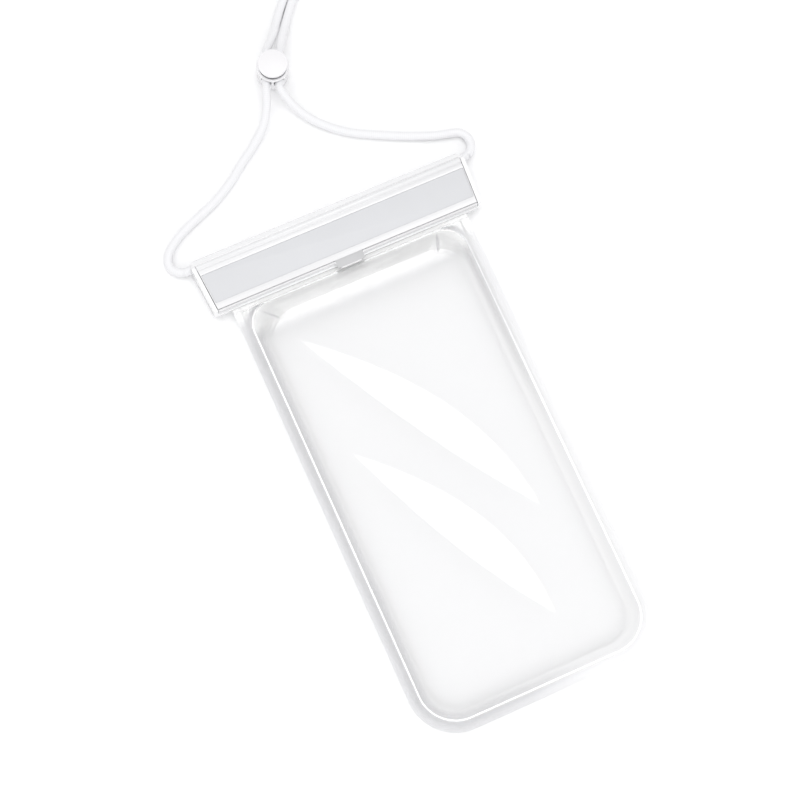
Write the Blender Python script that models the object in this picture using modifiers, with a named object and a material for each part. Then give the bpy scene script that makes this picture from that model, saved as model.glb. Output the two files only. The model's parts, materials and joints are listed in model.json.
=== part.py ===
"""A clear waterproof pouch with a hinged snap clip, a neck lanyard and a spring cord lock.

The pouch lies on its back. X runs along the clip bar, Y runs from the bag's closed end towards
the bar, and Z points up through the front film. The origin is at the middle of the pouch, on the
surface that it lies on. Every size is in metres and every angle in degrees.
"""

import math

import bmesh
import bpy
from mathutils import Matrix, Vector

# Clearances
FIT_GAP = 0.0003
MERGE_DISTANCE = 0.00001
CUT_MARGIN = 0.002

# Bag: two clear films welded along three sides
FILM_THICKNESS = 0.00035
BAG_WIDTH = 0.0947
BAG_LENGTH = 0.1768
BAG_CORNER_RADIUS = 0.018
WELD_PLANE_HEIGHT = 0.0042
WELD_WIDTH = 0.0045
POCKET_DEPTH = 0.00785
POCKET_SLOPE = 0.0039
POCKET_BASE_RADIUS = 0.014
POCKET_PANEL_RADIUS = 0.012
NECK_FLAT_LENGTH = 0.0030
NECK_SLOPE = 0.0067
NECK_CORNER_RADIUS = 0.009
NECK_HELD_LENGTH = 0.0125
NECK_END_RADIUS = 0.0008
FILM_SLOPE_STEPS = 8
CORNER_STEPS = 8

# Clip bar
BAR_LENGTH = 0.1104
BAR_HEIGHT = 0.0227
BAR_THICKNESS = 0.0078
BAR_END_TAPER = 0.0013
BAR_SHOULDER_DROP = 0.0030
BAR_TOP_CORNER_CUT = 0.0020
BAR_LOW_CORNER_RADIUS = 0.0011
BAR_BACK_EDGE_CUT = 0.0010
END_WALL = 0.0014
END_WALL_STEP = 0.0001
BACK_WALL = 0.0013
LIP_WIDTH = 0.0024
FACE_WALL = 0.0015
FACE_EDGE_CUT = 0.0003
SKIRT_WALL = 0.0012

# Hinge along the top of the cover
HINGE_DROP = 0.0044
HINGE_HEIGHT = 0.0065
HINGE_BEAD_RADIUS = 0.0013
HINGE_GROOVE_WIDTH = 0.0003
HINGE_GROOVE_DEPTH = 0.00045
HINGE_PIN_RADIUS = 0.0005
HINGE_PIN_RECESS = 0.0004

# Seal between the two halves of the clip
SEAL_RISE = 0.0059
SEAL_WIDTH = 0.0032
SEAL_END_MARGIN = 0.0030
SEAL_EDGE_CUT = 0.0004
SEAL_RIB = 0.0010

# Label plate let into the cover
LABEL_RISE = 0.0035
LABEL_HEIGHT = 0.0113
LABEL_THICKNESS = 0.00045
LABEL_SINK = 0.00015
LABEL_BORDER = 0.0006
LABEL_CORNER_RADIUS = 0.0005

# Thumb tab and closing detents of the cover
TAB_WIDTH = 0.0120
TAB_TIP_WIDTH = 0.0090
TAB_REACH = 0.0027
TAB_THICKNESS = 0.0013
TAB_TIP_RADIUS = 0.0011
TAB_SINK = 0.0002
DETENT_RADIUS = 0.0006
DETENT_REACH = 0.0002
DETENT_RISE = 0.00065
DETENT_DROP = 0.0014

# Lanyard cord and its bore in the bar
CORD_DIAMETER = 0.0032
BORE_WALL = 0.0007
CORD_STEP = 0.0040

# Cord lock
LOCK_X = 0.00385
LOCK_Y = 0.1567
LOCK_TURN = -23.6
LOCK_CORD_OFFSET = 0.0025
LOCK_CORD_HEIGHT = 0.0065
LOCK_BODY_HEIGHT = 0.0092
LOCK_FLOOR = 0.0010
LOCK_WALL = 0.00085
LOCK_STEM_WALL = 0.00065
LOCK_STEM_FLOOR = 0.0006
LOCK_RIM_CUT = 0.0003
LOCK_RIM_HEIGHT = 0.0008
LOCK_RIM_STEP = 0.00015
LOCK_BODY_TAPER = 0.0002
LOCK_STRAIGHT_LENGTH = 0.0132
BUTTON_TRAVEL = 0.0016
BUTTON_HEAD_RADIUS = 0.0056
BUTTON_HEAD_THICKNESS = 0.0014
BUTTON_EDGE_CUT = 0.0004
SPRING_RADIUS = 0.0030
SPRING_WIRE_RADIUS = 0.0002
SPRING_TURNS = 2.5
SPRING_POINTS_PER_TURN = 14

# Stored coil of the lanyard and its tie
COIL_X = 0.0425
COIL_Y = 0.2142
COIL_MEAN_RADIUS = 0.0170
COIL_BUNDLE_WIDTH = 0.0138
COIL_BUNDLE_HEIGHT = 0.0065
COIL_EDGE_RADIUS = 0.0014
TIE_THICKNESS = 0.0004
TIE_WIDTH = 0.0060
TIE_CORNER_RADIUS = 0.0015
TIE_DIRECTION = 57.0
ROUND_STEPS = 48

# Worked out from the sizes above
CORD_RADIUS = CORD_DIAMETER / 2
BAG_BOTTOM_Y = -(BAG_LENGTH + BAR_HEIGHT) / 2
BAR_BOTTOM_Y = BAG_BOTTOM_Y + BAG_LENGTH
BAR_TOP_Y = BAR_BOTTOM_Y + BAR_HEIGHT
FRONT_FLANGE_TOP = WELD_PLANE_HEIGHT + FIT_GAP / 2 + FILM_THICKNESS
BACK_FLANGE_BOTTOM = WELD_PLANE_HEIGHT - FIT_GAP / 2 - FILM_THICKNESS
POCKET_TOP = POCKET_DEPTH + 2 * FILM_THICKNESS
BACK_SUPPORT_TOP = BACK_FLANGE_BOTTOM - FIT_GAP
COVER_SUPPORT_BOTTOM = FRONT_FLANGE_TOP + FIT_GAP
BORE_RADIUS = CORD_RADIUS + FIT_GAP
BARREL_RADIUS = BORE_RADIUS + BORE_WALL
BARREL_Y = BAR_TOP_Y - BARREL_RADIUS
HINGE_Y = BAR_TOP_Y - HINGE_DROP
HINGE_BORE_RADIUS = HINGE_PIN_RADIUS + FIT_GAP
FACE_UNDERSIDE = BAR_THICKNESS - FACE_WALL
COVER_END_INSET = END_WALL + FIT_GAP

# Axes for a section drawn in the YZ plane and extruded along X
SECTION_AXES = Matrix(((0, 0, 1, 0), (1, 0, 0, 0), (0, 1, 0, 0), (0, 0, 0, 1)))
PLAN_AXES = Matrix.Identity(4)
# Axes for a section drawn in the XZ plane and extruded along Y
CORD_AXES = Matrix(((1, 0, 0, 0), (0, 0, -1, 0), (0, 1, 0, 0), (0, 0, 0, 1)))

# The lanyard's lower run: from the lock down the left side, through the bar and up the right side
LEFT_STRAND = (
    (-0.0036, 0.1452, 0.0054),
    (-0.0076, 0.1388, 0.0034),
    (-0.0140, 0.1333, 0.0020),
    (-0.0217, 0.1280, 0.00165),
    (-0.0279, 0.1233, 0.00165),
    (-0.0365, 0.1184, 0.00165),
    (-0.0486, 0.1136, 0.00165),
    (-0.0546, 0.1107, 0.00165),
    (-0.0590, 0.1075, 0.00165),
    (-0.0613, 0.1042, 0.00165),
    (-0.0614, 0.1008, 0.0018),
    (-0.0594, 0.0982, 0.0022),
    (-0.0570, 0.0972, 0.0025),
)
RIGHT_STRAND = (
    (0.0569, 0.0973, 0.0025),
    (0.0594, 0.0987, 0.0022),
    (0.0609, 0.1013, 0.0018),
    (0.0608, 0.1045, 0.00165),
    (0.0588, 0.1071, 0.00165),
    (0.0554, 0.1083, 0.00165),
    (0.0494, 0.1099, 0.00165),
    (0.0380, 0.1147, 0.00165),
    (0.0236, 0.1220, 0.00165),
    (0.0170, 0.1267, 0.00165),
    (0.0125, 0.1309, 0.0018),
    (0.0094, 0.1346, 0.0022),
    (0.0070, 0.1382, 0.0030),
    (0.0051, 0.1420, 0.0043),
    (0.0038, 0.1456, 0.0056),
)
# The two strands of the neck loop from the lock to the stored coil
NECK_LEFT_STRAND = (
    (0.0097, 0.1699, 0.0048),
    (0.0124, 0.1738, 0.0032),
    (0.0162, 0.1789, 0.0020),
    (0.0200, 0.1837, 0.00165),
    (0.0212, 0.1890, 0.00165),
    (0.0212, 0.1945, 0.0019),
    (0.0210, 0.1998, 0.0023),
)
NECK_RIGHT_STRAND = (
    (0.0125, 0.1677, 0.0048),
    (0.0152, 0.1716, 0.0032),
    (0.0190, 0.1767, 0.0020),
    (0.0230, 0.1814, 0.00165),
    (0.0274, 0.1844, 0.00165),
    (0.0328, 0.1865, 0.0023),
    (0.0383, 0.1886, 0.0034),
)


def clear_scene():
    """Remove every object that the scene holds."""
    for obj in list(bpy.data.objects):
        bpy.data.objects.remove(obj)


def new_collection(name):
    """Make a collection under the scene's own."""
    made = bpy.data.collections.new(name)
    bpy.context.scene.collection.children.link(made)
    return made


def new_material(name, colour, roughness, metallic=0.0, alpha=1.0):
    """Make a Principled material."""
    material = bpy.data.materials.new(name)
    material.use_nodes = True
    shader = material.node_tree.nodes["Principled BSDF"]
    shader.inputs["Base Color"].default_value = (*colour, 1.0)
    shader.inputs["Roughness"].default_value = roughness
    shader.inputs["Metallic"].default_value = metallic
    shader.inputs["Alpha"].default_value = alpha
    return material


def arc(centre, radius, start, end, steps):
    """Points on an arc in a plane, from one angle to another."""
    points = []
    for step in range(steps + 1):
        angle = math.radians(start + (end - start) * step / steps)
        points.append((centre[0] + radius * math.cos(angle), centre[1] + radius * math.sin(angle)))
    return points


def rounded_box(half_width, low, high, low_radius, high_radius, steps=CORNER_STEPS):
    """Outline of a box whose lower and upper corners have their own radii."""
    right, left = half_width, -half_width
    return (
        arc((right - low_radius, low + low_radius), low_radius, -90, 0, steps)
        + arc((right - high_radius, high - high_radius), high_radius, 0, 90, steps)
        + arc((left + high_radius, high - high_radius), high_radius, 90, 180, steps)
        + arc((left + low_radius, low + low_radius), low_radius, 180, 270, steps)
    )


def flat_curve(name, outline, thickness):
    """A filled 2D curve with a thickness."""
    curve = bpy.data.curves.new(name, "CURVE")
    curve.dimensions = "2D"
    curve.fill_mode = "BOTH"
    curve.extrude = thickness / 2
    spline = curve.splines.new("POLY")
    spline.points.add(len(outline) - 1)
    for point, (across, up) in zip(spline.points, outline):
        point.co = (across, up, 0, 1)
    spline.use_cyclic_u = True
    return curve


def welded_mesh(name, curve, placing):
    """Mesh of a curve object with its caps welded on, moved by a matrix."""
    shape = bpy.data.objects.new(name, curve)
    bpy.context.scene.collection.objects.link(shape)
    evaluated = shape.evaluated_get(bpy.context.evaluated_depsgraph_get())
    mesh = bpy.data.meshes.new_from_object(evaluated)
    bpy.data.objects.remove(shape)
    body = bmesh.new()
    body.from_mesh(mesh)
    bmesh.ops.remove_doubles(body, verts=body.verts, dist=MERGE_DISTANCE)
    bmesh.ops.transform(body, matrix=placing, verts=body.verts)
    bmesh.ops.recalc_face_normals(body, faces=body.faces)
    body.to_mesh(mesh)
    body.free()
    mesh.name = name
    return mesh


def prism(name, outline, low, high, axes=PLAN_AXES):
    """Mesh of an outline extruded between two heights along the axes' third direction."""
    lift = Matrix.Translation((0, 0, (low + high) / 2))
    return welded_mesh(name, flat_curve(name, outline, high - low), axes @ lift)


def rod(name, radius, low, high, axes, steps=ROUND_STEPS):
    """Mesh of a cylinder along the axes' third direction."""
    mesh = bpy.data.meshes.new(name)
    body = bmesh.new()
    placing = axes @ Matrix.Translation((0, 0, (low + high) / 2))
    bmesh.ops.create_cone(
        body,
        cap_ends=True,
        segments=steps,
        radius1=radius,
        radius2=radius,
        depth=high - low,
        matrix=placing,
    )
    body.to_mesh(mesh)
    body.free()
    return mesh


def ball(name, radius, centre):
    """Mesh of a small sphere."""
    mesh = bpy.data.meshes.new(name)
    body = bmesh.new()
    bmesh.ops.create_uvsphere(
        body, u_segments=12, v_segments=8, radius=radius, matrix=Matrix.Translation(centre)
    )
    body.to_mesh(mesh)
    body.free()
    return mesh


def add_part(name, mesh, material, smooth_angle=30):
    """Put a mesh in the pouch's collection as a named part."""
    mesh.materials.clear()
    mesh.materials.append(material)
    mesh.shade_smooth()
    mesh.set_sharp_from_angle(angle=math.radians(smooth_angle))
    part = bpy.data.objects.new(name, mesh)
    PARTS.objects.link(part)
    return part


def shape_with(part, name, mesh, operation):
    """Join, cut or trim a part by a mesh that stays as a hidden cutter."""
    cutter = bpy.data.objects.new(name, mesh)
    cutter.hide_render = True
    cutter.display_type = "WIRE"
    CUTTERS.objects.link(cutter)
    modifier = part.modifiers.new(name, "BOOLEAN")
    modifier.operation = operation
    modifier.object = cutter
    return modifier


def place_at(part, placing):
    """Put a part, and the cutters that shape it, in place."""
    part.matrix_world = placing
    for modifier in part.modifiers:
        if modifier.type == "BOOLEAN":
            modifier.object.matrix_world = placing


def film_rings(neck_top):
    """Outlines of a film from its cut edge to its flat panel, each with its share of the rise."""
    edge = rounded_box(BAG_WIDTH / 2, BAG_BOTTOM_Y, neck_top, BAG_CORNER_RADIUS, NECK_END_RADIUS)
    base = rounded_box(
        BAG_WIDTH / 2 - WELD_WIDTH,
        BAG_BOTTOM_Y + WELD_WIDTH,
        BAR_BOTTOM_Y - NECK_FLAT_LENGTH,
        POCKET_BASE_RADIUS,
        NECK_CORNER_RADIUS,
    )
    panel = rounded_box(
        BAG_WIDTH / 2 - WELD_WIDTH - POCKET_SLOPE,
        BAG_BOTTOM_Y + WELD_WIDTH + POCKET_SLOPE,
        BAR_BOTTOM_Y - NECK_FLAT_LENGTH - NECK_SLOPE,
        POCKET_PANEL_RADIUS,
        POCKET_PANEL_RADIUS,
    )
    rings = [(edge, 0.0)]
    for step in range(FILM_SLOPE_STEPS + 1):
        share = step / FILM_SLOPE_STEPS
        outline = [
            (a[0] + (b[0] - a[0]) * share, a[1] + (b[1] - a[1]) * share) for a, b in zip(base, panel)
        ]
        rings.append((outline, share * share * (3 - 2 * share)))
    return rings


def film_mesh(name, flange, panel):
    """Open dished surface from the flange's height to the panel's, lofted ring by ring."""
    body = bmesh.new()
    loops = []
    for outline, rise in film_rings(BAR_BOTTOM_Y + NECK_HELD_LENGTH):
        height = flange + (panel - flange) * rise
        loops.append([body.verts.new((x, y, height)) for x, y in outline])
    for outer, inner in zip(loops, loops[1:]):
        for index in range(len(outer)):
            after = (index + 1) % len(outer)
            body.faces.new((outer[index], outer[after], inner[after], inner[index]))
    body.faces.new(loops[-1])
    if panel < flange:
        bmesh.ops.reverse_faces(body, faces=body.faces)
    mesh = bpy.data.meshes.new(name)
    body.to_mesh(mesh)
    body.free()
    return mesh


def build_film(name, flange, panel, material):
    """One of the bag's two films, as thick as the sheet it is cut from."""
    film = add_part(name, film_mesh(name, flange, panel), material)
    wall = film.modifiers.new("film_thickness", "SOLIDIFY")
    wall.thickness = FILM_THICKNESS
    wall.offset = -1
    return film


def bar_plan(end_inset, low_margin, low_radius):
    """Front view of the bar: tapered ends, cut top corners and rounded lower corners."""
    shoulder = BAR_LENGTH / 2 - end_inset
    top = shoulder - BAR_TOP_CORNER_CUT
    foot = shoulder - BAR_END_TAPER
    low = BAR_BOTTOM_Y - low_margin
    right = [(top, BAR_TOP_Y + CUT_MARGIN), (top, BAR_TOP_Y), (shoulder, BAR_TOP_Y - BAR_SHOULDER_DROP)]
    right += arc((foot - low_radius, low + low_radius), low_radius, 0, -90, CORNER_STEPS)
    return right + [(-x, y) for x, y in reversed(right)]


def back_half_section():
    """End view of the clip's back half with its end walls, cord barrel and hinge boss."""
    cut = BAR_BACK_EDGE_CUT
    wall_top = BAR_THICKNESS - END_WALL_STEP
    boss = wall_top - HINGE_HEIGHT
    return (
        [(BAR_BOTTOM_Y, cut), (BAR_BOTTOM_Y + cut, 0)]
        + arc((BARREL_Y, BARREL_RADIUS), BARREL_RADIUS, -90, 60, 16)
        + arc((HINGE_Y, HINGE_HEIGHT), boss, -40, 90, 10)
        + [(BAR_BOTTOM_Y + FACE_EDGE_CUT, wall_top), (BAR_BOTTOM_Y, wall_top - FACE_EDGE_CUT)]
    )


def back_half_hollow():
    """End view of what is cut out of the back half between its end walls."""
    low_rib = BAR_BOTTOM_Y + SEAL_RISE - FIT_GAP - SEAL_RIB
    high_rib = BAR_BOTTOM_Y + SEAL_RISE + SEAL_WIDTH + FIT_GAP
    block_top = COVER_SUPPORT_BOTTOM - FIT_GAP
    below = BAR_BOTTOM_Y - CUT_MARGIN
    above = BAR_TOP_Y + CUT_MARGIN
    sink = math.degrees(math.asin((BACK_WALL - BARREL_RADIUS) / BARREL_RADIUS))
    return (
        [(below, block_top), (BAR_BOTTOM_Y + LIP_WIDTH, block_top), (BAR_BOTTOM_Y + LIP_WIDTH, BACK_WALL)]
        + [(low_rib, BACK_WALL), (low_rib, BACK_SUPPORT_TOP)]
        + [(low_rib + SEAL_RIB, BACK_SUPPORT_TOP), (low_rib + SEAL_RIB, BACK_WALL)]
        + [(high_rib, BACK_WALL), (high_rib, BACK_SUPPORT_TOP)]
        + [(high_rib + SEAL_RIB, BACK_SUPPORT_TOP), (high_rib + SEAL_RIB, BACK_WALL)]
        + arc((BARREL_Y, BARREL_RADIUS), BARREL_RADIUS, 180 - sink, 0, 20)
        + [(above, BARREL_RADIUS), (above, BAR_THICKNESS + CUT_MARGIN), (below, BAR_THICKNESS + CUT_MARGIN)]
    )


def axis_along_bar(y, z):
    """Axes whose third direction runs along the bar, through a point of its section."""
    return Matrix.Translation((0, y, z)) @ SECTION_AXES


def detent_places(reach):
    """Centres of the two closing detents, that far past the cover's ends."""
    foot_share = 1 - DETENT_RISE / (BAR_HEIGHT - BAR_SHOULDER_DROP)
    end = BAR_LENGTH / 2 - COVER_END_INSET - BAR_END_TAPER * foot_share
    height = BAR_THICKNESS - DETENT_DROP
    return [(side * (end + reach), BAR_BOTTOM_Y + DETENT_RISE, height) for side in (-1, 1)]


def build_clip_back(material):
    """The clip's back half: back wall, lip, seal seat, end walls and the barrel that the cord runs in."""
    half = BAR_LENGTH / 2
    reach = half + CUT_MARGIN
    inner = half - END_WALL
    name = "clip_back"
    back = add_part(name, prism(name, back_half_section(), -half, half, SECTION_AXES), material)
    cavity = prism("back_cavity", back_half_hollow(), -reach, reach, SECTION_AXES)
    plan = bar_plan(END_WALL, CUT_MARGIN, BAR_LOW_CORNER_RADIUS)
    shape_with(back, "back_cavity", trimmed(cavity, "cavity_ends", plan), "DIFFERENCE")
    mouth = (BAG_WIDTH / 2 + FIT_GAP, BAR_BOTTOM_Y - CUT_MARGIN, BAR_BOTTOM_Y + LIP_WIDTH + CUT_MARGIN)
    film_way = rounded_box(*mouth, MERGE_DISTANCE, MERGE_DISTANCE, 1)
    shape_with(back, "film_way", prism("film_way", film_way, BACK_SUPPORT_TOP, inner), "DIFFERENCE")
    outline = prism("bar_outline", bar_plan(0, 0, BAR_LOW_CORNER_RADIUS), -CUT_MARGIN, inner)
    shape_with(back, "bar_outline", outline, "INTERSECT")
    bore = rod("cord_bore", BORE_RADIUS, -reach, reach, axis_along_bar(BARREL_Y, BARREL_RADIUS), 24)
    shape_with(back, "cord_bore", bore, "DIFFERENCE")
    pin_hole = rod("pin_hole", HINGE_BORE_RADIUS, -reach, reach, axis_along_bar(HINGE_Y, HINGE_HEIGHT), 16)
    shape_with(back, "pin_hole", pin_hole, "DIFFERENCE")
    for index, place in enumerate(detent_places(DETENT_REACH - DETENT_RADIUS)):
        dimple = ball(f"detent_dimple_{index}", DETENT_RADIUS + FIT_GAP, place)
        shape_with(back, f"detent_dimple_{index}", dimple, "DIFFERENCE")
    return back


def trimmed(mesh, name, plan):
    """A mesh cut to a plan outline, for a cutter that needs tapered ends."""
    holder = bpy.data.objects.new(name, mesh)
    bpy.context.scene.collection.objects.link(holder)
    limit = shape_with(
        holder, name + "_limit", prism(name, plan, -CUT_MARGIN, BAR_LENGTH), "INTERSECT"
    ).object
    evaluated = holder.evaluated_get(bpy.context.evaluated_depsgraph_get())
    cut = bpy.data.meshes.new_from_object(evaluated)
    bpy.data.objects.remove(holder)
    bpy.data.objects.remove(limit)
    return cut


def cover_section():
    """End view of the cover: skirt, face wall, seal ribs and hinge bead."""
    low_rib = BAR_BOTTOM_Y + SEAL_RISE - FIT_GAP - SEAL_RIB
    low_rib_top = low_rib + SEAL_RIB
    high_rib = BAR_BOTTOM_Y + SEAL_RISE + SEAL_WIDTH + FIT_GAP
    high_rib_top = high_rib + SEAL_RIB
    bead_low = HINGE_Y - HINGE_BEAD_RADIUS
    groove = bead_low - HINGE_GROOVE_WIDTH
    bottom, under, top = COVER_SUPPORT_BOTTOM, FACE_UNDERSIDE, BAR_THICKNESS
    lean = math.degrees(math.asin((top - HINGE_GROOVE_DEPTH - HINGE_HEIGHT) / HINGE_BEAD_RADIUS))
    fall = math.degrees(math.asin((HINGE_HEIGHT - under) / HINGE_BEAD_RADIUS))
    return (
        [(BAR_BOTTOM_Y, bottom), (BAR_BOTTOM_Y, top - FACE_EDGE_CUT), (BAR_BOTTOM_Y + FACE_EDGE_CUT, top)]
        + [(groove, top), (groove, top - HINGE_GROOVE_DEPTH)]
        + arc((HINGE_Y, HINGE_HEIGHT), HINGE_BEAD_RADIUS, 180 - lean, fall - 180, 24)
        + [(high_rib_top, under), (high_rib_top, bottom), (high_rib, bottom), (high_rib, under)]
        + [(low_rib_top, under), (low_rib_top, bottom), (low_rib, bottom), (low_rib, under)]
        + [(BAR_BOTTOM_Y + SKIRT_WALL, under), (BAR_BOTTOM_Y + SKIRT_WALL, bottom)]
    )


def label_plan(border):
    """Outline of the label plate, or of its recess with a smaller border."""
    low = BAR_BOTTOM_Y + LABEL_RISE
    low_share = 1 - LABEL_RISE / (BAR_HEIGHT - BAR_SHOULDER_DROP)
    high_share = low_share - LABEL_HEIGHT / (BAR_HEIGHT - BAR_SHOULDER_DROP)
    end = BAR_LENGTH / 2 - COVER_END_INSET - LABEL_BORDER - border
    wide, narrow = end - BAR_END_TAPER * high_share, end - BAR_END_TAPER * low_share
    radius = LABEL_CORNER_RADIUS
    low_y, high_y = low + border, low + LABEL_HEIGHT - border
    right = arc((narrow - radius, low_y + radius), radius, -90, 0, 4)
    right += arc((wide - radius, high_y - radius), radius, 0, 90, 4)
    return right + [(-x, y) for x, y in reversed(right)]


def build_clip_cover(material):
    """The clip's front half, which swings up about its top bead."""
    half = BAR_LENGTH / 2
    name = "clip_cover"
    cover = add_part(name, prism(name, cover_section(), -half, half, SECTION_AXES), material)
    plan = prism("cover_outline", bar_plan(COVER_END_INSET, CUT_MARGIN, CUT_MARGIN), 0, half)
    shape_with(cover, "cover_outline", plan, "INTERSECT")
    floor = BAR_THICKNESS - LABEL_SINK - LABEL_THICKNESS - FIT_GAP
    recess = prism("label_recess", label_plan(-FIT_GAP), floor, half)
    shape_with(cover, "label_recess", recess, "DIFFERENCE")
    pin_axis = axis_along_bar(HINGE_Y, HINGE_HEIGHT)
    bore = rod("bead_bore", HINGE_BORE_RADIUS, -half, half, pin_axis, 16)
    shape_with(cover, "bead_bore", bore, "DIFFERENCE")
    shape_with(cover, "thumb_tab", thumb_tab_mesh(), "UNION")
    for index, place in enumerate(detent_places(DETENT_REACH - DETENT_RADIUS)):
        name = f"detent_{index}"
        shape_with(cover, name, ball(name, DETENT_RADIUS, place), "UNION")
    return cover


def thumb_tab_mesh():
    """The tab that a thumb lifts, standing out of the cover's lower edge."""
    root, tip = TAB_WIDTH / 2, TAB_TIP_WIDTH / 2
    low = BAR_BOTTOM_Y - TAB_REACH
    right = [(root, BAR_BOTTOM_Y + SKIRT_WALL / 2), (root, BAR_BOTTOM_Y)]
    right += arc((tip - TAB_TIP_RADIUS, low + TAB_TIP_RADIUS), TAB_TIP_RADIUS, 0, -90, 6)
    outline = right + [(-x, y) for x, y in reversed(right)]
    top = BAR_THICKNESS - TAB_SINK
    return prism("thumb_tab", outline, top - TAB_THICKNESS, top)


def build_label(material):
    """The blank plate let into the cover's face."""
    top = BAR_THICKNESS - LABEL_SINK
    plate = prism("label_plate", label_plan(0), top - LABEL_THICKNESS, top)
    return add_part("label_plate", plate, material)


def seal_section(low, high, crown):
    """End view of a seal strip with the two corners cut on the side that meets the film."""
    left = BAR_BOTTOM_Y + SEAL_RISE
    right = left + SEAL_WIDTH
    cut = SEAL_EDGE_CUT
    if crown > 0:
        crest = [(right, high - cut), (right - cut, high), (left + cut, high), (left, high - cut)]
        return [(left, low), (right, low)] + crest
    crest = [(left, low + cut), (left + cut, low), (right - cut, low), (right, low + cut)]
    return [(left, high)] + crest + [(right, high)]


def build_seal(name, low, high, crown, material):
    """A soft strip between the ribs of one half of the clip."""
    half = BAR_LENGTH / 2 - END_WALL - BAR_END_TAPER - SEAL_END_MARGIN
    return add_part(name, prism(name, seal_section(low, high, crown), -half, half, SECTION_AXES), material)


def build_hinge_pin(material):
    """The steel pin that the cover turns on, held in the two end walls."""
    half = BAR_LENGTH / 2 - HINGE_PIN_RECESS
    axes = axis_along_bar(HINGE_Y, HINGE_HEIGHT)
    return add_part("hinge_pin", rod("hinge_pin", HINGE_PIN_RADIUS, -half, half, axes, 16), material)


def smooth_route(points, step):
    """Points a step apart along a smooth curve through the given ones."""
    knots = [Vector(p) for p in points]
    ends = [knots[0] * 2 - knots[1], *knots, knots[-1] * 2 - knots[-2]]
    fine = []
    for before, start, end, after in zip(ends, ends[1:], ends[2:], ends[3:]):
        for part in range(24):
            t = part / 24
            bend = (before * -1 + start * 3 - end * 3 + after) * t**3
            curl = (before * 2 - start * 5 + end * 4 - after) * t**2
            fine.append((start * 2 + (end - before) * t + curl + bend) / 2)
    fine.append(knots[-1])
    travelled = [0.0]
    for a, b in zip(fine, fine[1:]):
        travelled.append(travelled[-1] + (b - a).length)
    count = max(2, round(travelled[-1] / step))
    route, at = [], 0
    for index in range(count + 1):
        wanted = travelled[-1] * index / count
        while at < len(fine) - 2 and travelled[at + 1] < wanted:
            at += 1
        share = (wanted - travelled[at]) / max(travelled[at + 1] - travelled[at], MERGE_DISTANCE)
        route.append(fine[at].lerp(fine[at + 1], min(share, 1.0)))
    return route


def build_tube(name, route, radius, material):
    """A round tube along a route, with filled ends."""
    curve = bpy.data.curves.new(name, "CURVE")
    curve.dimensions = "3D"
    curve.bevel_depth = radius
    curve.bevel_resolution = 2
    curve.use_fill_caps = True
    spline = curve.splines.new("POLY")
    spline.points.add(len(route) - 1)
    for point, place in zip(spline.points, route):
        point.co = (*place, 1)
    curve.materials.append(material)
    tube = bpy.data.objects.new(name, curve)
    PARTS.objects.link(tube)
    return tube


def lock_point(along, across, height):
    """A point of the cord lock, along the cords' way through it and across it."""
    turn = math.radians(LOCK_TURN)
    way = Vector((-math.sin(turn), math.cos(turn)))
    side = Vector((math.cos(turn), math.sin(turn)))
    place = Vector((LOCK_X, LOCK_Y)) + way * along + side * across
    return (place.x, place.y, height)


def lock_way(side, direction):
    """Points of one cord inside the lock, from near its middle to just outside."""
    distances = (FIT_GAP, LOCK_STRAIGHT_LENGTH / 2, LOCK_STRAIGHT_LENGTH / 2 + CORD_RADIUS / 2)
    return [lock_point(direction * d, side * LOCK_CORD_OFFSET, LOCK_CORD_HEIGHT) for d in distances]


def build_lanyard(material):
    """The cord: its run through the bar and the two strands that go on to the stored coil."""
    half = BAR_LENGTH / 2
    stations = (-half, -half / 2, 0, half / 2, half)
    in_bar = [(x, BARREL_Y, BARREL_RADIUS) for x in stations]
    lower = lock_way(-1, -1) + list(LEFT_STRAND) + in_bar + list(RIGHT_STRAND) + lock_way(1, -1)[::-1]
    strands = {
        "lanyard_lower": lower,
        "lanyard_neck_left": lock_way(-1, 1) + list(NECK_LEFT_STRAND),
        "lanyard_neck_right": lock_way(1, 1) + list(NECK_RIGHT_STRAND),
    }
    for name, points in strands.items():
        build_tube(name, smooth_route(points, CORD_STEP), CORD_RADIUS, material)


def turned(name, outline, material):
    """A part turned from an outline of (radius, height) points, listed down its outer side."""
    mesh = bpy.data.meshes.new(name)
    count = len(outline)
    edges = [(index, (index + 1) % count) for index in range(count)]
    mesh.from_pydata([(radius, 0, height) for radius, height in outline], edges, [])
    part = add_part(name, mesh, material)
    screw = part.modifiers.new("turning", "SCREW")
    screw.steps = ROUND_STEPS
    screw.render_steps = ROUND_STEPS
    screw.use_merge_vertices = True
    screw.merge_threshold = MERGE_DISTANCE
    screw.use_normal_calculate = False
    return part


def build_coil(material):
    """The outer shape of the stored coil, a turned ring."""
    low = TIE_THICKNESS + FIT_GAP
    half = COIL_BUNDLE_WIDTH / 2
    edge = COIL_EDGE_RADIUS
    outer, inner = COIL_MEAN_RADIUS + half - edge, COIL_MEAN_RADIUS - half + edge
    bottom, top = low + edge, low + COIL_BUNDLE_HEIGHT - edge
    outline = (
        arc((outer, top), edge, 90, 0, 3)
        + arc((outer, bottom), edge, 0, -90, 3)
        + arc((inner, bottom), edge, -90, -180, 3)
        + arc((inner, top), edge, 180, 90, 3)
    )
    coil = turned("lanyard_coil", outline, material)
    coil.location = (COIL_X, COIL_Y, 0)
    return coil


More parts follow.
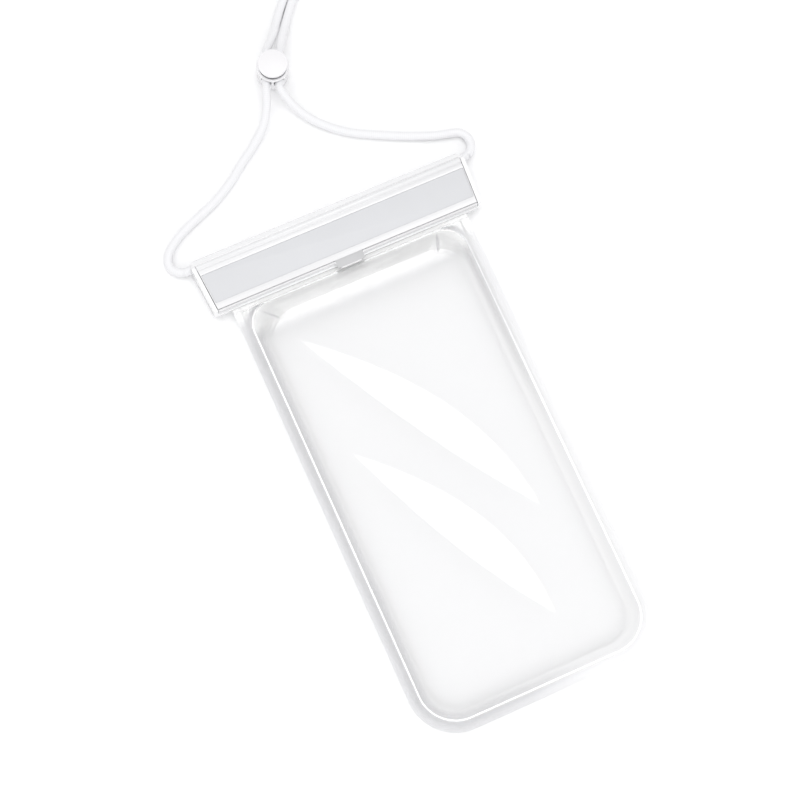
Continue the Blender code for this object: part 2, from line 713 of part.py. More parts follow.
def build_tie(material):
    """The band that holds the coil's turns together on one side."""
    inside = COIL_MEAN_RADIUS - COIL_BUNDLE_WIDTH / 2
    curve_room = inside - math.sqrt(inside**2 - (TIE_WIDTH / 2) ** 2)
    half = COIL_BUNDLE_WIDTH / 2 + FIT_GAP + curve_room / 2
    high = TIE_THICKNESS + COIL_BUNDLE_HEIGHT + 2 * FIT_GAP
    inner = rounded_box(half, TIE_THICKNESS, high, TIE_CORNER_RADIUS, TIE_CORNER_RADIUS, 4)
    grown = TIE_CORNER_RADIUS + TIE_THICKNESS
    outer = rounded_box(half + TIE_THICKNESS, 0, high + TIE_THICKNESS, grown, grown, 4)
    tie = add_part("coil_tie", prism("coil_tie", outer, -TIE_WIDTH / 2, TIE_WIDTH / 2, CORD_AXES), material)
    hole = prism("tie_hole", inner, -TIE_WIDTH, TIE_WIDTH, CORD_AXES)
    shape_with(tie, "tie_hole", hole, "DIFFERENCE")
    turn = Matrix.Rotation(math.radians(TIE_DIRECTION), 4, "Z")
    reach = Matrix.Translation((COIL_MEAN_RADIUS - curve_room / 2, 0, 0))
    place_at(tie, Matrix.Translation((COIL_X, COIL_Y, 0)) @ turn @ reach)
    return tie


def cord_window(name, low, high, reach):
    """A wide slot with round sides that both cords pass through, along Y."""
    half_width = LOCK_CORD_OFFSET + CORD_RADIUS + FIT_GAP
    radius = CORD_RADIUS + FIT_GAP
    return prism(name, rounded_box(half_width, low, high, radius, radius, 6), -reach, reach, CORD_AXES)


def build_lock_body(material):
    """The lock's cup, with a rim round its mouth and a window on each side for the cords."""
    stem = LOCK_CORD_OFFSET + CORD_RADIUS + FIT_GAP + LOCK_STEM_WALL
    cavity, outer = stem + FIT_GAP, stem + FIT_GAP + LOCK_WALL
    wall, foot = outer - LOCK_RIM_STEP, outer - LOCK_RIM_STEP - LOCK_BODY_TAPER
    cut, rim_low = LOCK_RIM_CUT, LOCK_BODY_HEIGHT - LOCK_RIM_HEIGHT
    outline = [(0, LOCK_BODY_HEIGHT), (outer - cut, LOCK_BODY_HEIGHT), (outer, LOCK_BODY_HEIGHT - cut)]
    outline += [(outer, rim_low), (wall, rim_low - LOCK_RIM_STEP), (foot, cut), (foot - cut, 0), (0, 0)]
    body = turned("cord_lock_body", outline, material)
    cup = rod("lock_cup", cavity, LOCK_FLOOR, LOCK_BODY_HEIGHT + CUT_MARGIN, PLAN_AXES)
    shape_with(body, "lock_cup", cup, "DIFFERENCE")
    low_window = LOCK_CORD_HEIGHT - CORD_RADIUS - FIT_GAP
    high_window = LOCK_CORD_HEIGHT + CORD_RADIUS + FIT_GAP
    window = cord_window("body_window", low_window, high_window, LOCK_STRAIGHT_LENGTH)
    shape_with(body, "body_window", window, "DIFFERENCE")
    place_at(body, lock_placing())
    return body


def lock_placing():
    """Where the cord lock stands, turned to the way the cords pass through it."""
    return Matrix.Translation((LOCK_X, LOCK_Y, 0)) @ Matrix.Rotation(math.radians(LOCK_TURN), 4, "Z")


def build_lock_button(material):
    """The plunger: a round head on a stem with a tall slot for the cords."""
    stem = LOCK_CORD_OFFSET + CORD_RADIUS + FIT_GAP + LOCK_STEM_WALL
    slot_low = LOCK_CORD_HEIGHT - CORD_RADIUS - FIT_GAP
    slot_high = LOCK_CORD_HEIGHT + CORD_RADIUS + FIT_GAP + BUTTON_TRAVEL
    stem_low = slot_low - LOCK_STEM_FLOOR
    head_low = LOCK_BODY_HEIGHT + BUTTON_TRAVEL + FIT_GAP
    head_high = head_low + BUTTON_HEAD_THICKNESS
    head, cut = BUTTON_HEAD_RADIUS, BUTTON_EDGE_CUT
    outline = [(0, head_high), (head - cut, head_high), (head, head_high - cut), (head, head_low)]
    outline += [(stem, head_low), (stem, stem_low), (0, stem_low)]
    button = turned("cord_lock_button", outline, material)
    slot = cord_window("button_slot", slot_low, slot_high, LOCK_STRAIGHT_LENGTH)
    shape_with(button, "button_slot", slot, "DIFFERENCE")
    place_at(button, lock_placing())
    return button


def build_lock_spring(material):
    """The coil spring that holds the button up, between the cup's floor and the stem."""
    low = LOCK_FLOOR + FIT_GAP + SPRING_WIRE_RADIUS
    stem_low = LOCK_CORD_HEIGHT - CORD_RADIUS - FIT_GAP - LOCK_STEM_FLOOR
    rise = stem_low - FIT_GAP - SPRING_WIRE_RADIUS - low
    count = round(SPRING_TURNS * SPRING_POINTS_PER_TURN)
    route = []
    for index in range(count + 1):
        share = index / count
        angle = 2 * math.pi * SPRING_TURNS * share
        across, along = SPRING_RADIUS * math.cos(angle), SPRING_RADIUS * math.sin(angle)
        route.append((LOCK_X + across, LOCK_Y + along, low + rise * share))
    return build_tube("cord_lock_spring", route, SPRING_WIRE_RADIUS, material)


def build_pouch():
    """Make every piece of the pouch."""
    film = new_material("clear_film", (0.93, 0.94, 0.95), 0.12, alpha=0.25)
    clip = new_material("white_plastic", (0.93, 0.93, 0.94), 0.25)
    label = new_material("label_grey", (0.74, 0.75, 0.77), 0.45)
    seal = new_material("seal_silicone", (0.85, 0.86, 0.87), 0.6)
    steel = new_material("steel", (0.70, 0.70, 0.72), 0.3, metallic=1.0)
    cord = new_material("white_cord", (0.92, 0.92, 0.93), 0.7)
    lock = new_material("lock_plastic", (0.94, 0.93, 0.95), 0.35)
    tie = new_material("tie_band", (0.80, 0.81, 0.83), 0.6)

    build_film("back_film", BACK_FLANGE_BOTTOM, 0, film)
    build_film("front_film", FRONT_FLANGE_TOP, POCKET_TOP, film)
    build_clip_back(clip)
    build_clip_cover(clip)
    build_label(label)
    build_seal("seal_strip_back", BACK_WALL + FIT_GAP, BACK_SUPPORT_TOP, 1, seal)
    build_seal("seal_strip_front", COVER_SUPPORT_BOTTOM, FACE_UNDERSIDE - FIT_GAP, -1, seal)
    build_hinge_pin(steel)
    build_lanyard(cord)
    build_coil(cord)
    build_tie(tie)
    build_lock_body(lock)
    build_lock_button(lock)
    build_lock_spring(steel)


clear_scene()
PARTS = new_collection("waterproof_pouch")
CUTTERS = new_collection("cutters")
build_pouch()
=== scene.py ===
"""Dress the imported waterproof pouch: clear welded bag, snap clip, neck lanyard and cord lock.

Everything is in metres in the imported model's frame. X runs along the clip bar, Y from the bag's
closed end towards the bar and Z up through the front film. The pouch lies on its back.
"""

import json
import logging
import math
from contextlib import contextmanager
from dataclasses import dataclass
from enum import Enum
from typing import Callable, Iterator, Optional, Union

import bmesh
import bpy
from mathutils import Matrix, Vector

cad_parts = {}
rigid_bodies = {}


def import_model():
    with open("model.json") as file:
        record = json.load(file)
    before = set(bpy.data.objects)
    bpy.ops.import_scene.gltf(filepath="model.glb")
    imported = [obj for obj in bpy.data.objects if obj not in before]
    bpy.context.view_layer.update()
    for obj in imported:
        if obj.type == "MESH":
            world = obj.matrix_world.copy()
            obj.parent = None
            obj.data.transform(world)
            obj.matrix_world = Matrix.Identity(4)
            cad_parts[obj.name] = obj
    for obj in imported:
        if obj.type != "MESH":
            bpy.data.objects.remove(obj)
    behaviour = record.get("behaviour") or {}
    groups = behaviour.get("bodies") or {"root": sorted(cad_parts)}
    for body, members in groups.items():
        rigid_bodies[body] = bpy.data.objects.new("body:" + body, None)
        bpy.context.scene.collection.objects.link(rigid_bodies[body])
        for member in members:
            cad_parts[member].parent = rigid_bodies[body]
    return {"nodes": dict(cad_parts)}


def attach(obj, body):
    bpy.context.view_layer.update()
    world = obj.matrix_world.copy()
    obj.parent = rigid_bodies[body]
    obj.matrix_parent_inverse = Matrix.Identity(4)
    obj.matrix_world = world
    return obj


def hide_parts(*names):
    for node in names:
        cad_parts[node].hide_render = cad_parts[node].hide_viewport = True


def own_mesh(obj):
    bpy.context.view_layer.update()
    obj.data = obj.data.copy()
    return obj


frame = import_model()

LOG = logging.getLogger("waterproof_pouch")
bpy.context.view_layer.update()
MERGE = 0.00001  # points nearer than this are one
FLAT_ANGLE = 1.0  # faces that meet within these degrees are one
SMOOTH_ANGLE = 35.0  # a moulding is shaded smooth up to these degrees
FACING = 0.9  # least share of its normal along the axis that a face is said to face
FINE_STEPS = 24
LYING = 0.00165  # height of the cord's centre where it lies on the surface
LOCK_X, LOCK_Y = 0.00385, 0.1567
LOCK_TURN = -23.6

Flat = tuple[float, float]
Point = tuple[float, float, float]
Colour = tuple[float, float, float]
Piece = bpy.types.Object
Material = bpy.types.Material


class Side(Enum):
    """The two faces of the pouch, with the way that each one bulges."""

    FRONT = 1
    BACK = -1


class Body(Enum):
    """The rigid bodies that pieces ride on."""

    POUCH = "pouch"
    COVER = "cover"
    BUTTON = "button"


# Shader building


def operation(kind: str, swapped: bool = False) -> Callable[..., "Signal"]:
    """A method of Signal that adds a Math node.

    Args:
        kind: Name of the node's operation.
        swapped: Whether the method's own signal is the second value.

    Returns:
        The method, which gives the node's result.
    """

    def join(self: "Signal", other: "Term" = 0.0) -> "Signal":
        """Join the signal and another value."""
        values = (other, self) if swapped else (self, other)
        return self.graph.add("ShaderNodeMath", {"operation": kind}, dict(enumerate(values)))

    return join


class Signal:
    """A shader value that can be used in Python expressions."""

    __add__ = __radd__ = operation("ADD")
    __sub__ = operation("SUBTRACT")
    __rsub__ = operation("SUBTRACT", swapped=True)
    __mul__ = __rmul__ = operation("MULTIPLY")
    __pow__ = operation("POWER")
    __abs__ = operation("ABSOLUTE")
    wave = operation("SINE")
    most = operation("MAXIMUM")
    least = operation("MINIMUM")

    def __init__(self, graph: "Graph", socket: bpy.types.NodeSocket) -> None:
        """Wrap one output socket of a graph."""
        self.graph = graph
        self.socket = socket

    def ramp(self, low: float, high: float) -> "Signal":
        """Smooth step of the value.

        Args:
            low: Value at which the step starts, at 0.
            high: Value at which it ends, at 1.

        Returns:
            The step, between 0 and 1.
        """
        settings = {"interpolation_type": "SMOOTHSTEP"}
        return self.graph.add("ShaderNodeMapRange", settings, {0: self, 1: low, 2: high})


Term = Union[Signal, float]


class Graph:
    """The node tree of one material, or of the world."""

    def __init__(self, name: str, tree: Optional[bpy.types.NodeTree] = None) -> None:
        """Take a ready tree, or make a material of that name with a Principled surface.

        Args:
            name: Name of the material.
            tree: A tree that is there already, such as the world's.
        """
        if tree is not None:
            self.tree = tree
            return
        self.material = bpy.data.materials.new(name)
        self.material.use_nodes = True
        self.tree = self.material.node_tree
        self.shader = self.tree.nodes["Principled BSDF"]

    def feed(self, socket: bpy.types.NodeSocket, value: object) -> None:
        """Link a signal to a socket, or set the socket's own value.

        Args:
            socket: The socket.
            value: A signal, or a value of the socket's kind.
        """
        if isinstance(value, Signal):
            self.tree.links.new(value.socket, socket)
        else:
            socket.default_value = value

    def add(self, kind: str, settings: dict, values: dict, output: Union[int, str] = 0) -> Signal:
        """Add any node.

        Args:
            kind: Node type.
            settings: The node's own settings, set first.
            values: Values or signals by socket.
            output: Socket of the result.

        Returns:
            The node's result.
        """
        node = self.tree.nodes.new(kind)
        for key, value in settings.items():
            setattr(node, key, value)
        for key, value in values.items():
            self.feed(node.inputs[key], value)
        return Signal(self, node.outputs[output])

    def place(self) -> Signal:
        """Object coordinates, in metres."""
        return self.add("ShaderNodeTexCoord", {}, {}, "Object")

    def axis(self, vector: Signal, name: str) -> Signal:
        """One coordinate of a vector."""
        return self.add("ShaderNodeSeparateXYZ", {}, {0: vector}, name)

    def grain(self, size: float, detail: float = 2.0) -> Signal:
        """Soft noise.

        Args:
            size: Width of its blotches in metres.
            detail: Octaves of finer noise.

        Returns:
            The noise, about 0.5 on average.
        """
        values = {"Vector": self.place(), "Scale": 1.0 / size, "Detail": detail}
        return self.add("ShaderNodeTexNoise", {}, values, "Fac")

    def blend(self, mask: Term, low: Union[Signal, Colour], high: Union[Signal, Colour]) -> Signal:
        """Mix of two colours by a mask."""
        low, high = (shade if isinstance(shade, Signal) else (*shade, 1.0) for shade in (low, high))
        return self.add("ShaderNodeMix", {"data_type": "RGBA"}, {0: mask, 6: low, 7: high}, 2)

    def bump(self, height: Signal, depth: float, strength: float = 1.0) -> Signal:
        """Normal from a height.

        Args:
            height: Height, 0 to 1.
            depth: Depth in metres of a height of 1.
            strength: Share of the effect.

        Returns:
            The bumped normal.
        """
        values = {"Height": height, "Distance": depth, "Strength": strength}
        return self.add("ShaderNodeBump", {}, values)

    def surface(self, **values: object) -> Material:
        """Set the Principled surface's sockets, named with underscores for spaces."""
        for key, value in values.items():
            self.feed(self.shader.inputs[key.replace("_", " ")], value)
        return self.material


@dataclass(frozen=True)
class Buckle:
    """A long leaf-shaped swelling of the taut film, from one tip to the other."""

    start: Flat
    end: Flat
    half_width: float
    bow: float
    height: float
    fullness: float = 3.2
    lean: float = 1.6

    def _local(self, x: Term, y: Term) -> tuple[Term, Term]:
        """Share along the leaf and distance across it, of numbers or of signals.

        Args:
            x: Place along the bar, as a number or a signal.
            y: Place up the bag.

        Returns:
            Share along the leaf, and distance across it.
        """
        run, fall = self.end[0] - self.start[0], self.end[1] - self.start[1]
        length = math.hypot(run, fall)
        share = ((x - self.start[0]) * run + (y - self.start[1]) * fall) * (1 / length**2)
        across = ((x - self.start[0]) * fall - (y - self.start[1]) * run) * (1 / length)
        return share, across

    def margin(self, x: Term, y: Term) -> Term:
        """Distance inside the leaf's edge, in metres and negative outside.

        Args:
            x: Place along the bar, as a number or a signal.
            y: Place up the bag.

        Returns:
            The distance.
        """
        share, across = self._local(x, y)
        arch = share * (1 - share) * (self.fullness + self.lean * share)
        return arch * self.half_width - abs(across - arch * self.bow)

    def rise(self, x: float, y: float) -> float:
        """Height of the swelling at a place."""
        depth = max(0.0, self.margin(x, y)) / self.half_width
        return self.height * depth * (2 - depth)


# Leaf-shaped swellings of the front film; the film is also painted white over them as a painted highlight.
BUCKLES = (
    Buckle((-0.0305, 0.0562), (0.0255, -0.0369), 0.0072, -0.0046, 0.00030),
    Buckle((-0.0298, 0.0092), (0.0139, -0.0752), 0.0074, -0.0040, 0.00030),
)
# Folds at the window's top corners; the front film is also painted darker along them as painted shade.
FOLDS = (
    Buckle((-0.0385, 0.0730), (-0.0325, 0.0650), 0.0007, 0.0, 0.00020),
    Buckle((0.0345, 0.0745), (0.0305, 0.0650), 0.0010, 0.0, 0.00020),
)


@dataclass(frozen=True)
class ClearFilm:
    """Clear welded film: a faint mirror, greyer round the edge of its clear window.

    The window is the rounded outline along which the two films are welded. Greyness is given by
    the distance outside that outline, which is negative within it; it is partly the weld's own tone
    and partly painted shade. White is painted over the leaf-shaped swellings and along the weld line
    as painted highlights, and over the neck as painted light. A band is the pair of distances over
    which a tone comes in or fades.
    """

    leaves: tuple[Buckle, ...]
    clear: Colour = (0.55, 0.555, 0.575)
    # Darker tone of the weld band, also used for its painted shade.
    weld: Colour = (0.38, 0.38, 0.41)
    # White for the painted highlights on the leaves and along the weld line, and for the painted light on the
    # neck.
    glare: Colour = (1.0, 1.0, 1.0)
    clear_alpha: float = 0.012
    grey_alpha: float = 0.105
    seam_highlight_alpha: float = 0.14
    slope_alpha: float = 0.004
    glare_alpha: float = 0.038
    neck_light_alpha: float = 0.24
    edge: float = 0.0006
    window_half: float = 0.0431
    window_low: float = -0.0955
    window_high: float = 0.0750
    low_radius: float = 0.0140
    high_radius: float = 0.0095
    middle_band: Flat = (-0.01, 0.01)
    left_rise: Flat = (-0.0044, -0.0004)
    left_step: Flat = (0.0002, 0.0008)
    left_fall: Flat = (0.0010, 0.0050)
    left_tones: Point = (0.70, 0.30, 0.55)
    right_rise: Flat = (-0.0036, -0.0013)
    right_fall: Flat = (-0.0013, 0.0016)
    right_drop: float = 0.72
    right_tone: float = 0.85
    right_length: Flat = (-0.02, 0.06)
    right_foot: float = 0.12
    across: Flat = (-0.025, 0.025)
    top_band: Flat = (0.068, 0.073)
    top_ends: Flat = (0.034, 0.043)
    # The weld line is painted white as a painted highlight, and darker as painted shade under the clip.
    seam_band: Flat = (0.00010, 0.00040)
    seam_fade_x: Flat = (0.0, 0.02)
    seam_fade_y: Flat = (0.0, 0.04)
    seam_highlight_fade: float = 0.85
    # Painted light: white painted over the neck outside the window, at the clip's mouth and in the top of the
    # window.
    neck_light_up: Flat = (0.066, 0.0765)
    neck_light_out: Flat = (0.0004, 0.0030)
    neck_light_side: float = 0.7
    mouth_band: Flat = (0.0742, 0.0754)
    neck_light_mouth: float = 1.5
    neck_band: Flat = (0.060, 0.070)
    neck_edge: Flat = (-0.001, 0.0)
    neck_light_window: float = 0.8
    grey_fade_band: Flat = (0.058, 0.074)
    grey_fade: float = 0.75
    # Painted shade along the corner folds.
    fold_shade: float = 0.8
    # Painted shade line along the weld line under the clip.
    top_seam_shade: float = 0.45
    cloud_size: float = 0.030
    cloud_low: float = 0.85
    cloud_gain: float = 0.3
    ripple_size: float = 0.0016
    ripple: float = 0.05
    seam_rise: float = 0.6
    bump_depth: float = 0.00012
    mirror: float = 0.85
    mirror_loss: float = 0.75
    roughness: Point = (0.06, 0.16, 0.03)
    index: float = 1.53

    def make(self, name: str) -> Material:
        """Build the material.

        Args:
            name: Its name.

        Returns:
            The material.
        """
        graph = Graph(name)
        place = graph.place()
        x, y = graph.axis(place, "X"), graph.axis(place, "Y")
        outside = self._outside(x, y)
        # Band under the clip, where the weld line is painted as a shade line instead of a highlight.
        top = y.ramp(*self.top_band) * (1 - abs(x).ramp(*self.top_ends))
        # Mask of the weld line, painted white as a painted highlight.
        painted_seam_line = 1 - abs(outside).ramp(*self.seam_band)
        cloud = graph.grain(self.cloud_size)
        # Corner folds, painted darker as painted shade.
        folds = self._mask(FOLDS, x, y) if self.leaves else 0.0
        # Painted light over the neck, laid over the shade under the clip.
        neck_light = self._painted_neck_light(outside, y)
        # Greyness: the weld's own tone with painted shade, darker on the left and fading downwards on the
        # right, plus painted shade along the corner folds and along the weld line under the clip.
        weld_grey_and_shade = self._weld_grey_and_shade(outside, x, y) * (self.cloud_low + self.cloud_gain * cloud) * (1 - top) * (1 - painted_seam_line)
        weld_grey_and_shade = weld_grey_and_shade * (1 - self.grey_fade * y.ramp(*self.grey_fade_band))
        weld_grey_and_shade = (weld_grey_and_shade + self.fold_shade * folds + self.top_seam_shade * top * painted_seam_line).least(1.0)
        faded = self.seam_highlight_fade * x.ramp(*self.seam_fade_x) * y.ramp(*self.seam_fade_y)
        painted_seam_line = painted_seam_line * (1 - top) * (1 - faded)
        # Painted highlights on the leaf-shaped swellings.
        glare = self._mask(self.leaves, x, y) if self.leaves else 0.0
        facing = graph.add("ShaderNodeLayerWeight", {}, {"Blend": 0.4}, "Facing")
        alpha = self.clear_alpha + self.grey_alpha * (weld_grey_and_shade + folds) + self.seam_highlight_alpha * painted_seam_line
        alpha = alpha + self.slope_alpha * facing + self.glare_alpha * glare
        alpha = alpha + self.neck_light_alpha * neck_light * (1 - folds)
        tinted = graph.blend(weld_grey_and_shade.ramp(0.0, 0.25), self.clear, self.weld)
        # Where white is painted: painted highlights on the leaves and the weld line, and painted light on the
        # neck.
        bright = (glare + painted_seam_line + neck_light * 2 * (1 - folds)).least(1.0)
        height = self.seam_rise * painted_seam_line + self.ripple * graph.grain(self.ripple_size)
        base, weld, mist = self.roughness
        return graph.surface(
            Base_Color=graph.blend(bright, tinted, self.glare),
            Alpha=alpha,
            Metallic=(self.mirror - self.mirror_loss * weld_grey_and_shade - self.mirror * neck_light).most(0.0),
            Roughness=base + weld * weld_grey_and_shade + mist * cloud,
            Normal=graph.bump(height, self.bump_depth, 0.5),
            Specular_IOR_Level=0.7,
            IOR=self.index,
        )

    def _outside(self, x: Signal, y: Signal) -> Signal:
        """Distance outside the window's rounded outline.

        Args:
            x: Place along the bar.
            y: Place up the bag.

        Returns:
            The distance, negative inside.
        """
        radius = self.low_radius - (self.low_radius - self.high_radius) * y.ramp(*self.middle_band)
        middle = (self.window_low + self.window_high) / 2
        half = (self.window_high - self.window_low) / 2
        side = abs(x) - self.window_half + radius
        end = abs(y - middle) - half + radius
        corner = (side.most(0.0) ** 2 + end.most(0.0) ** 2) ** 0.5
        return corner + side.most(end).least(0.0) - radius

    def _painted_neck_light(self, outside: Signal, y: Signal) -> Signal:
        """Painted light on the neck: white outside the window, at the clip's mouth and inside the window."""
        neck_light = self.neck_light_side * y.ramp(*self.neck_light_up) * outside.ramp(*self.neck_light_out)
        neck_light = neck_light + self.neck_light_mouth * y.ramp(*self.mouth_band)
        return neck_light + self.neck_light_window * y.ramp(*self.neck_band) * (1 - outside.ramp(*self.neck_edge))

    def _weld_grey_and_shade(self, outside: Signal, x: Signal, y: Signal) -> Signal:
        """Greyness across the weld: its own tone with painted shade, darker on the left and fading downwards
        on the right.

        Args:
            outside: Distance outside the window.
            x: Place along the bar.
            y: Place up the bag.

        Returns:
            The greyness, 0 to 1.
        """
        rise, step, fall = self.left_tones
        left = rise * outside.ramp(*self.left_rise) + step * outside.ramp(*self.left_step)
        left = left - fall * outside.ramp(*self.left_fall)
        right = outside.ramp(*self.right_rise) * (1 - self.right_drop * outside.ramp(*self.right_fall))
        right = right * self.right_tone
        right = right * (self.right_foot + (1 - self.right_foot) * y.ramp(*self.right_length))
        share = x.ramp(*self.across)
        return left * (1 - share) + right * share

    def _mask(self, patches: tuple[Buckle, ...], x: Signal, y: Signal) -> Signal:
        """Mask of leaf-shaped patches.

        Args:
            patches: The patches.
            x: Place along the bar.
            y: Place up the bag.

        Returns:
            The mask, 1 inside them.
        """
        masks = [patch.margin(x, y).ramp(0.0, self.edge) for patch in patches]
        total = masks[0]
        for mask in masks[1:]:
            total = total.most(mask)
        return total


@dataclass(frozen=True)
class MouldedPlastic:
    """Moulded plastic with a faint mottle and a fine orange-peel surface."""

    colour: Colour
    roughness: float
    mottle: float = 0.025
    peel: float = 0.00002
    peel_size: float = 0.0009
    coat: float = 0.25
    coat_roughness: float = 0.12
    cloud_size: float = 0.012
    unevenness: float = 0.08
    index: float = 1.49

    def make(self, name: str) -> Material:
        """Build the material.

        Args:
            name: Its name.

        Returns:
            The material.
        """
        graph = Graph(name)
        darker = tuple(channel * (1.0 - self.mottle * 2.0) for channel in self.colour)
        cloud = graph.grain(self.cloud_size, 3.0)
        return graph.surface(
            Base_Color=graph.blend(cloud, darker, self.colour),
            Roughness=self.roughness + self.unevenness * (cloud - 0.5),
            Normal=graph.bump(graph.grain(self.peel_size), self.peel, 0.35),
            Coat_Weight=self.coat,
            Coat_Roughness=self.coat_roughness,
            IOR=self.index,
        )


@dataclass(frozen=True)
class RoundCord:
    """Round braided cord: two sets of strands that cross on its sleeve."""

    colour: Colour = (0.81, 0.81, 0.825)
    # Darker colour in the braid's low places: painted shade.
    hollow_shade: Colour = (0.76, 0.76, 0.78)
    strands: float = 20.0
    pitch: float = 2.2
    depth: float = 0.00002
    fibre_size: float = 0.0003
    fibre_depth: float = 0.25
    roughness: float = 0.62
    sheen: float = 0.3

    def make(self, name: str) -> Material:
        """Build the material; it reads the cord's UV map, round it and along it in diameters.

        Args:
            name: Its name.

        Returns:
            The material.
        """
        graph = Graph(name)
        cloth = graph.add("ShaderNodeTexCoord", {}, {}, "UV")
        around = graph.axis(cloth, "X") * (math.tau * self.strands / 2)
        along = graph.axis(cloth, "Y") * (math.tau * self.pitch)
        braid = (around + along).wave() * (around - along).wave()
        height = 0.5 + 0.5 * braid
        fibre = graph.grain(self.fibre_size)
        return graph.surface(
            Base_Color=graph.blend(height.ramp(0.0, 0.55), self.hollow_shade, self.colour),
            Roughness=self.roughness + 0.12 * fibre,
            Normal=graph.bump(height + self.fibre_depth * fibre, self.depth, 0.45),
            Sheen_Weight=self.sheen,
            Sheen_Roughness=0.5,
        )


@dataclass(frozen=True)
class DrawnSteel:
    """Drawn steel wire with fine lines along it."""

    colour: Colour = (0.62, 0.62, 0.64)
    line_size: float = 0.0004
    line_depth: float = 0.00001
    roughness: float = 0.24

    def make(self, name: str) -> Material:
        """Build the material.

        Args:
            name: Its name.

        Returns:
            The material.
        """
        graph = Graph(name)
        lines = graph.grain(self.line_size, 4.0)
        return graph.surface(
            Base_Color=(*self.colour, 1.0),
            Metallic=1.0,
            Roughness=self.roughness + 0.2 * lines,
            Normal=graph.bump(lines, self.line_depth, 0.3),
        )


@dataclass(frozen=True)
class WovenBand:
    """Ribbed band with a matt pile."""

    colour: Colour = (0.72, 0.73, 0.76)
    # Darker colour between the ribs: painted shade.
    hollow_shade: Colour = (0.48, 0.49, 0.52)
    rib: float = 0.0007
    rib_depth: float = 0.00008
    pile_size: float = 0.001
    roughness: float = 0.75

    def make(self, name: str) -> Material:
        """Build the material; its ribs run along the height of the piece.

        Args:
            name: Its name.

        Returns:
            The material.
        """
        graph = Graph(name)
        values = {"Vector": graph.place(), "Scale": 1.0 / self.rib, "Distortion": 0.4}
        ribs = graph.add("ShaderNodeTexWave", {"bands_direction": "Z"}, values, "Fac")
        return graph.surface(
            Base_Color=graph.blend(ribs, self.hollow_shade, self.colour),
            Roughness=self.roughness + 0.1 * graph.grain(self.pile_size),
            Normal=graph.bump(ribs, self.rib_depth, 0.5),
        )


@dataclass(frozen=True)
class Finishes:
    """Every material of the pouch and its studio, made once."""

    front: Material
    back: Material
    clip: Material
    cover: Material
    label: Material
    pad: Material
    seal: Material
    steel: Material
    cord: Material
    lock: Material
    cap: Material
    tie: Material
    floor: Material

    @classmethod
    def make(cls) -> "Finishes":
        """Build all the materials.

        Returns:
            The finishes.
        """
        return cls(
            front=ClearFilm(BUCKLES).make("front_film_finish"),
            back=ClearFilm(()).make("back_film_finish"),
            clip=MouldedPlastic((0.87, 0.87, 0.88), 0.20, coat=0.5).make("glossy_white_finish"),
            # The cover is a darker copy of the clip's white plastic: painted shade on its face.
            cover=MouldedPlastic((0.775, 0.775, 0.785), 0.20, coat=0.5).make("glossy_shaded_white_finish"),
            label=MouldedPlastic(
                (0.645, 0.65, 0.67), 0.42, mottle=0.03, peel=0.00003, peel_size=0.0005, coat=0.0
            ).make("satin_grey_finish"),
            pad=MouldedPlastic((0.53, 0.53, 0.54), 0.42, mottle=0.03, coat=0.0).make("tab_grey_finish"),
            seal=MouldedPlastic((0.74, 0.75, 0.77), 0.55, coat=0.0).make("seal_finish"),
            steel=DrawnSteel().make("steel_finish"),
            cord=RoundCord().make("cord_finish"),
            lock=MouldedPlastic((0.86, 0.855, 0.87), 0.26, coat=0.3).make("lock_finish"),
            cap=MouldedPlastic((0.82, 0.81, 0.825), 0.36, mottle=0.03, coat=0.1).make("lock_cap_finish"),
            tie=WovenBand().make("tie_finish"),
            floor=MouldedPlastic((0.93, 0.93, 0.935), 0.7, mottle=0.0, coat=0.0).make("floor_finish"),
        )


# Modelling help


def activate(piece: Piece) -> None:
    """Select one object alone and make it the active one."""
    for item in bpy.context.view_layer.objects:
        item.select_set(item == piece)
    bpy.context.view_layer.objects.active = piece


def apply_modifiers(piece: Piece) -> None:
    """Apply all the modifiers of a piece, in order."""
    activate(piece)
    for modifier in list(piece.modifiers):
        bpy.ops.object.modifier_apply(modifier=modifier.name)


def settle(piece: Piece) -> None:
    """Put a piece's place, turn and scale into its mesh."""
    activate(piece)
    bpy.ops.object.transform_apply(location=True, rotation=True, scale=True)


def shade(piece: Piece, angle: float) -> None:
    """Shade a piece smooth up to an angle in degrees."""
    activate(piece)
    bpy.ops.object.shade_smooth_by_angle(angle=math.radians(angle))


def show(name: str, data: bpy.types.ID) -> Piece:
    """Add an object for a mesh, light or camera.

    Args:
        name: Name of the object.
        data: What it shows.

    Returns:
        The object.
    """
    item = bpy.data.objects.new(name, data)
    bpy.context.scene.collection.objects.link(item)
    return item


def from_bmesh(name: str, body: bmesh.types.BMesh) -> Piece:
    """Turn a finished bmesh into a piece, and free it.

    Args:
        name: Name of the piece.
        body: The bmesh.

    Returns:
        The piece.
    """
    mesh = bpy.data.meshes.new(name)
    body.to_mesh(mesh)
    body.free()
    return show(name, mesh)


def block(name: str, place: Point, size: Point, turn: float = 0.0) -> Piece:
    """Add a block.

    Args:
        name: Name of the piece.
        place: Its centre.
        size: Its length along each axis.
        turn: Angle about Z, in radians.

    Returns:
        The block.
    """
    bpy.ops.mesh.primitive_cube_add(size=1.0, location=place, rotation=(0.0, 0.0, turn))
    piece = bpy.context.object
    piece.name = name
    piece.scale = size
    settle(piece)
    return piece


def ease(piece: Piece, width: float, segments: int = 3, angle: float = 40.0) -> None:
    """Round a piece's sharp edges a little and shade it.

    Args:
        piece: The piece.
        width: Width of the eased edges.
        segments: Steps across each eased edge.
        angle: Angle in degrees from which an edge counts as sharp.
    """
    edge = piece.modifiers.new("eased_edges", "BEVEL")
    edge.width = width
    edge.segments = segments
    edge.limit_method = "ANGLE"
    edge.angle_limit = math.radians(angle)
    apply_modifiers(piece)
    shade(piece, SMOOTH_ANGLE)


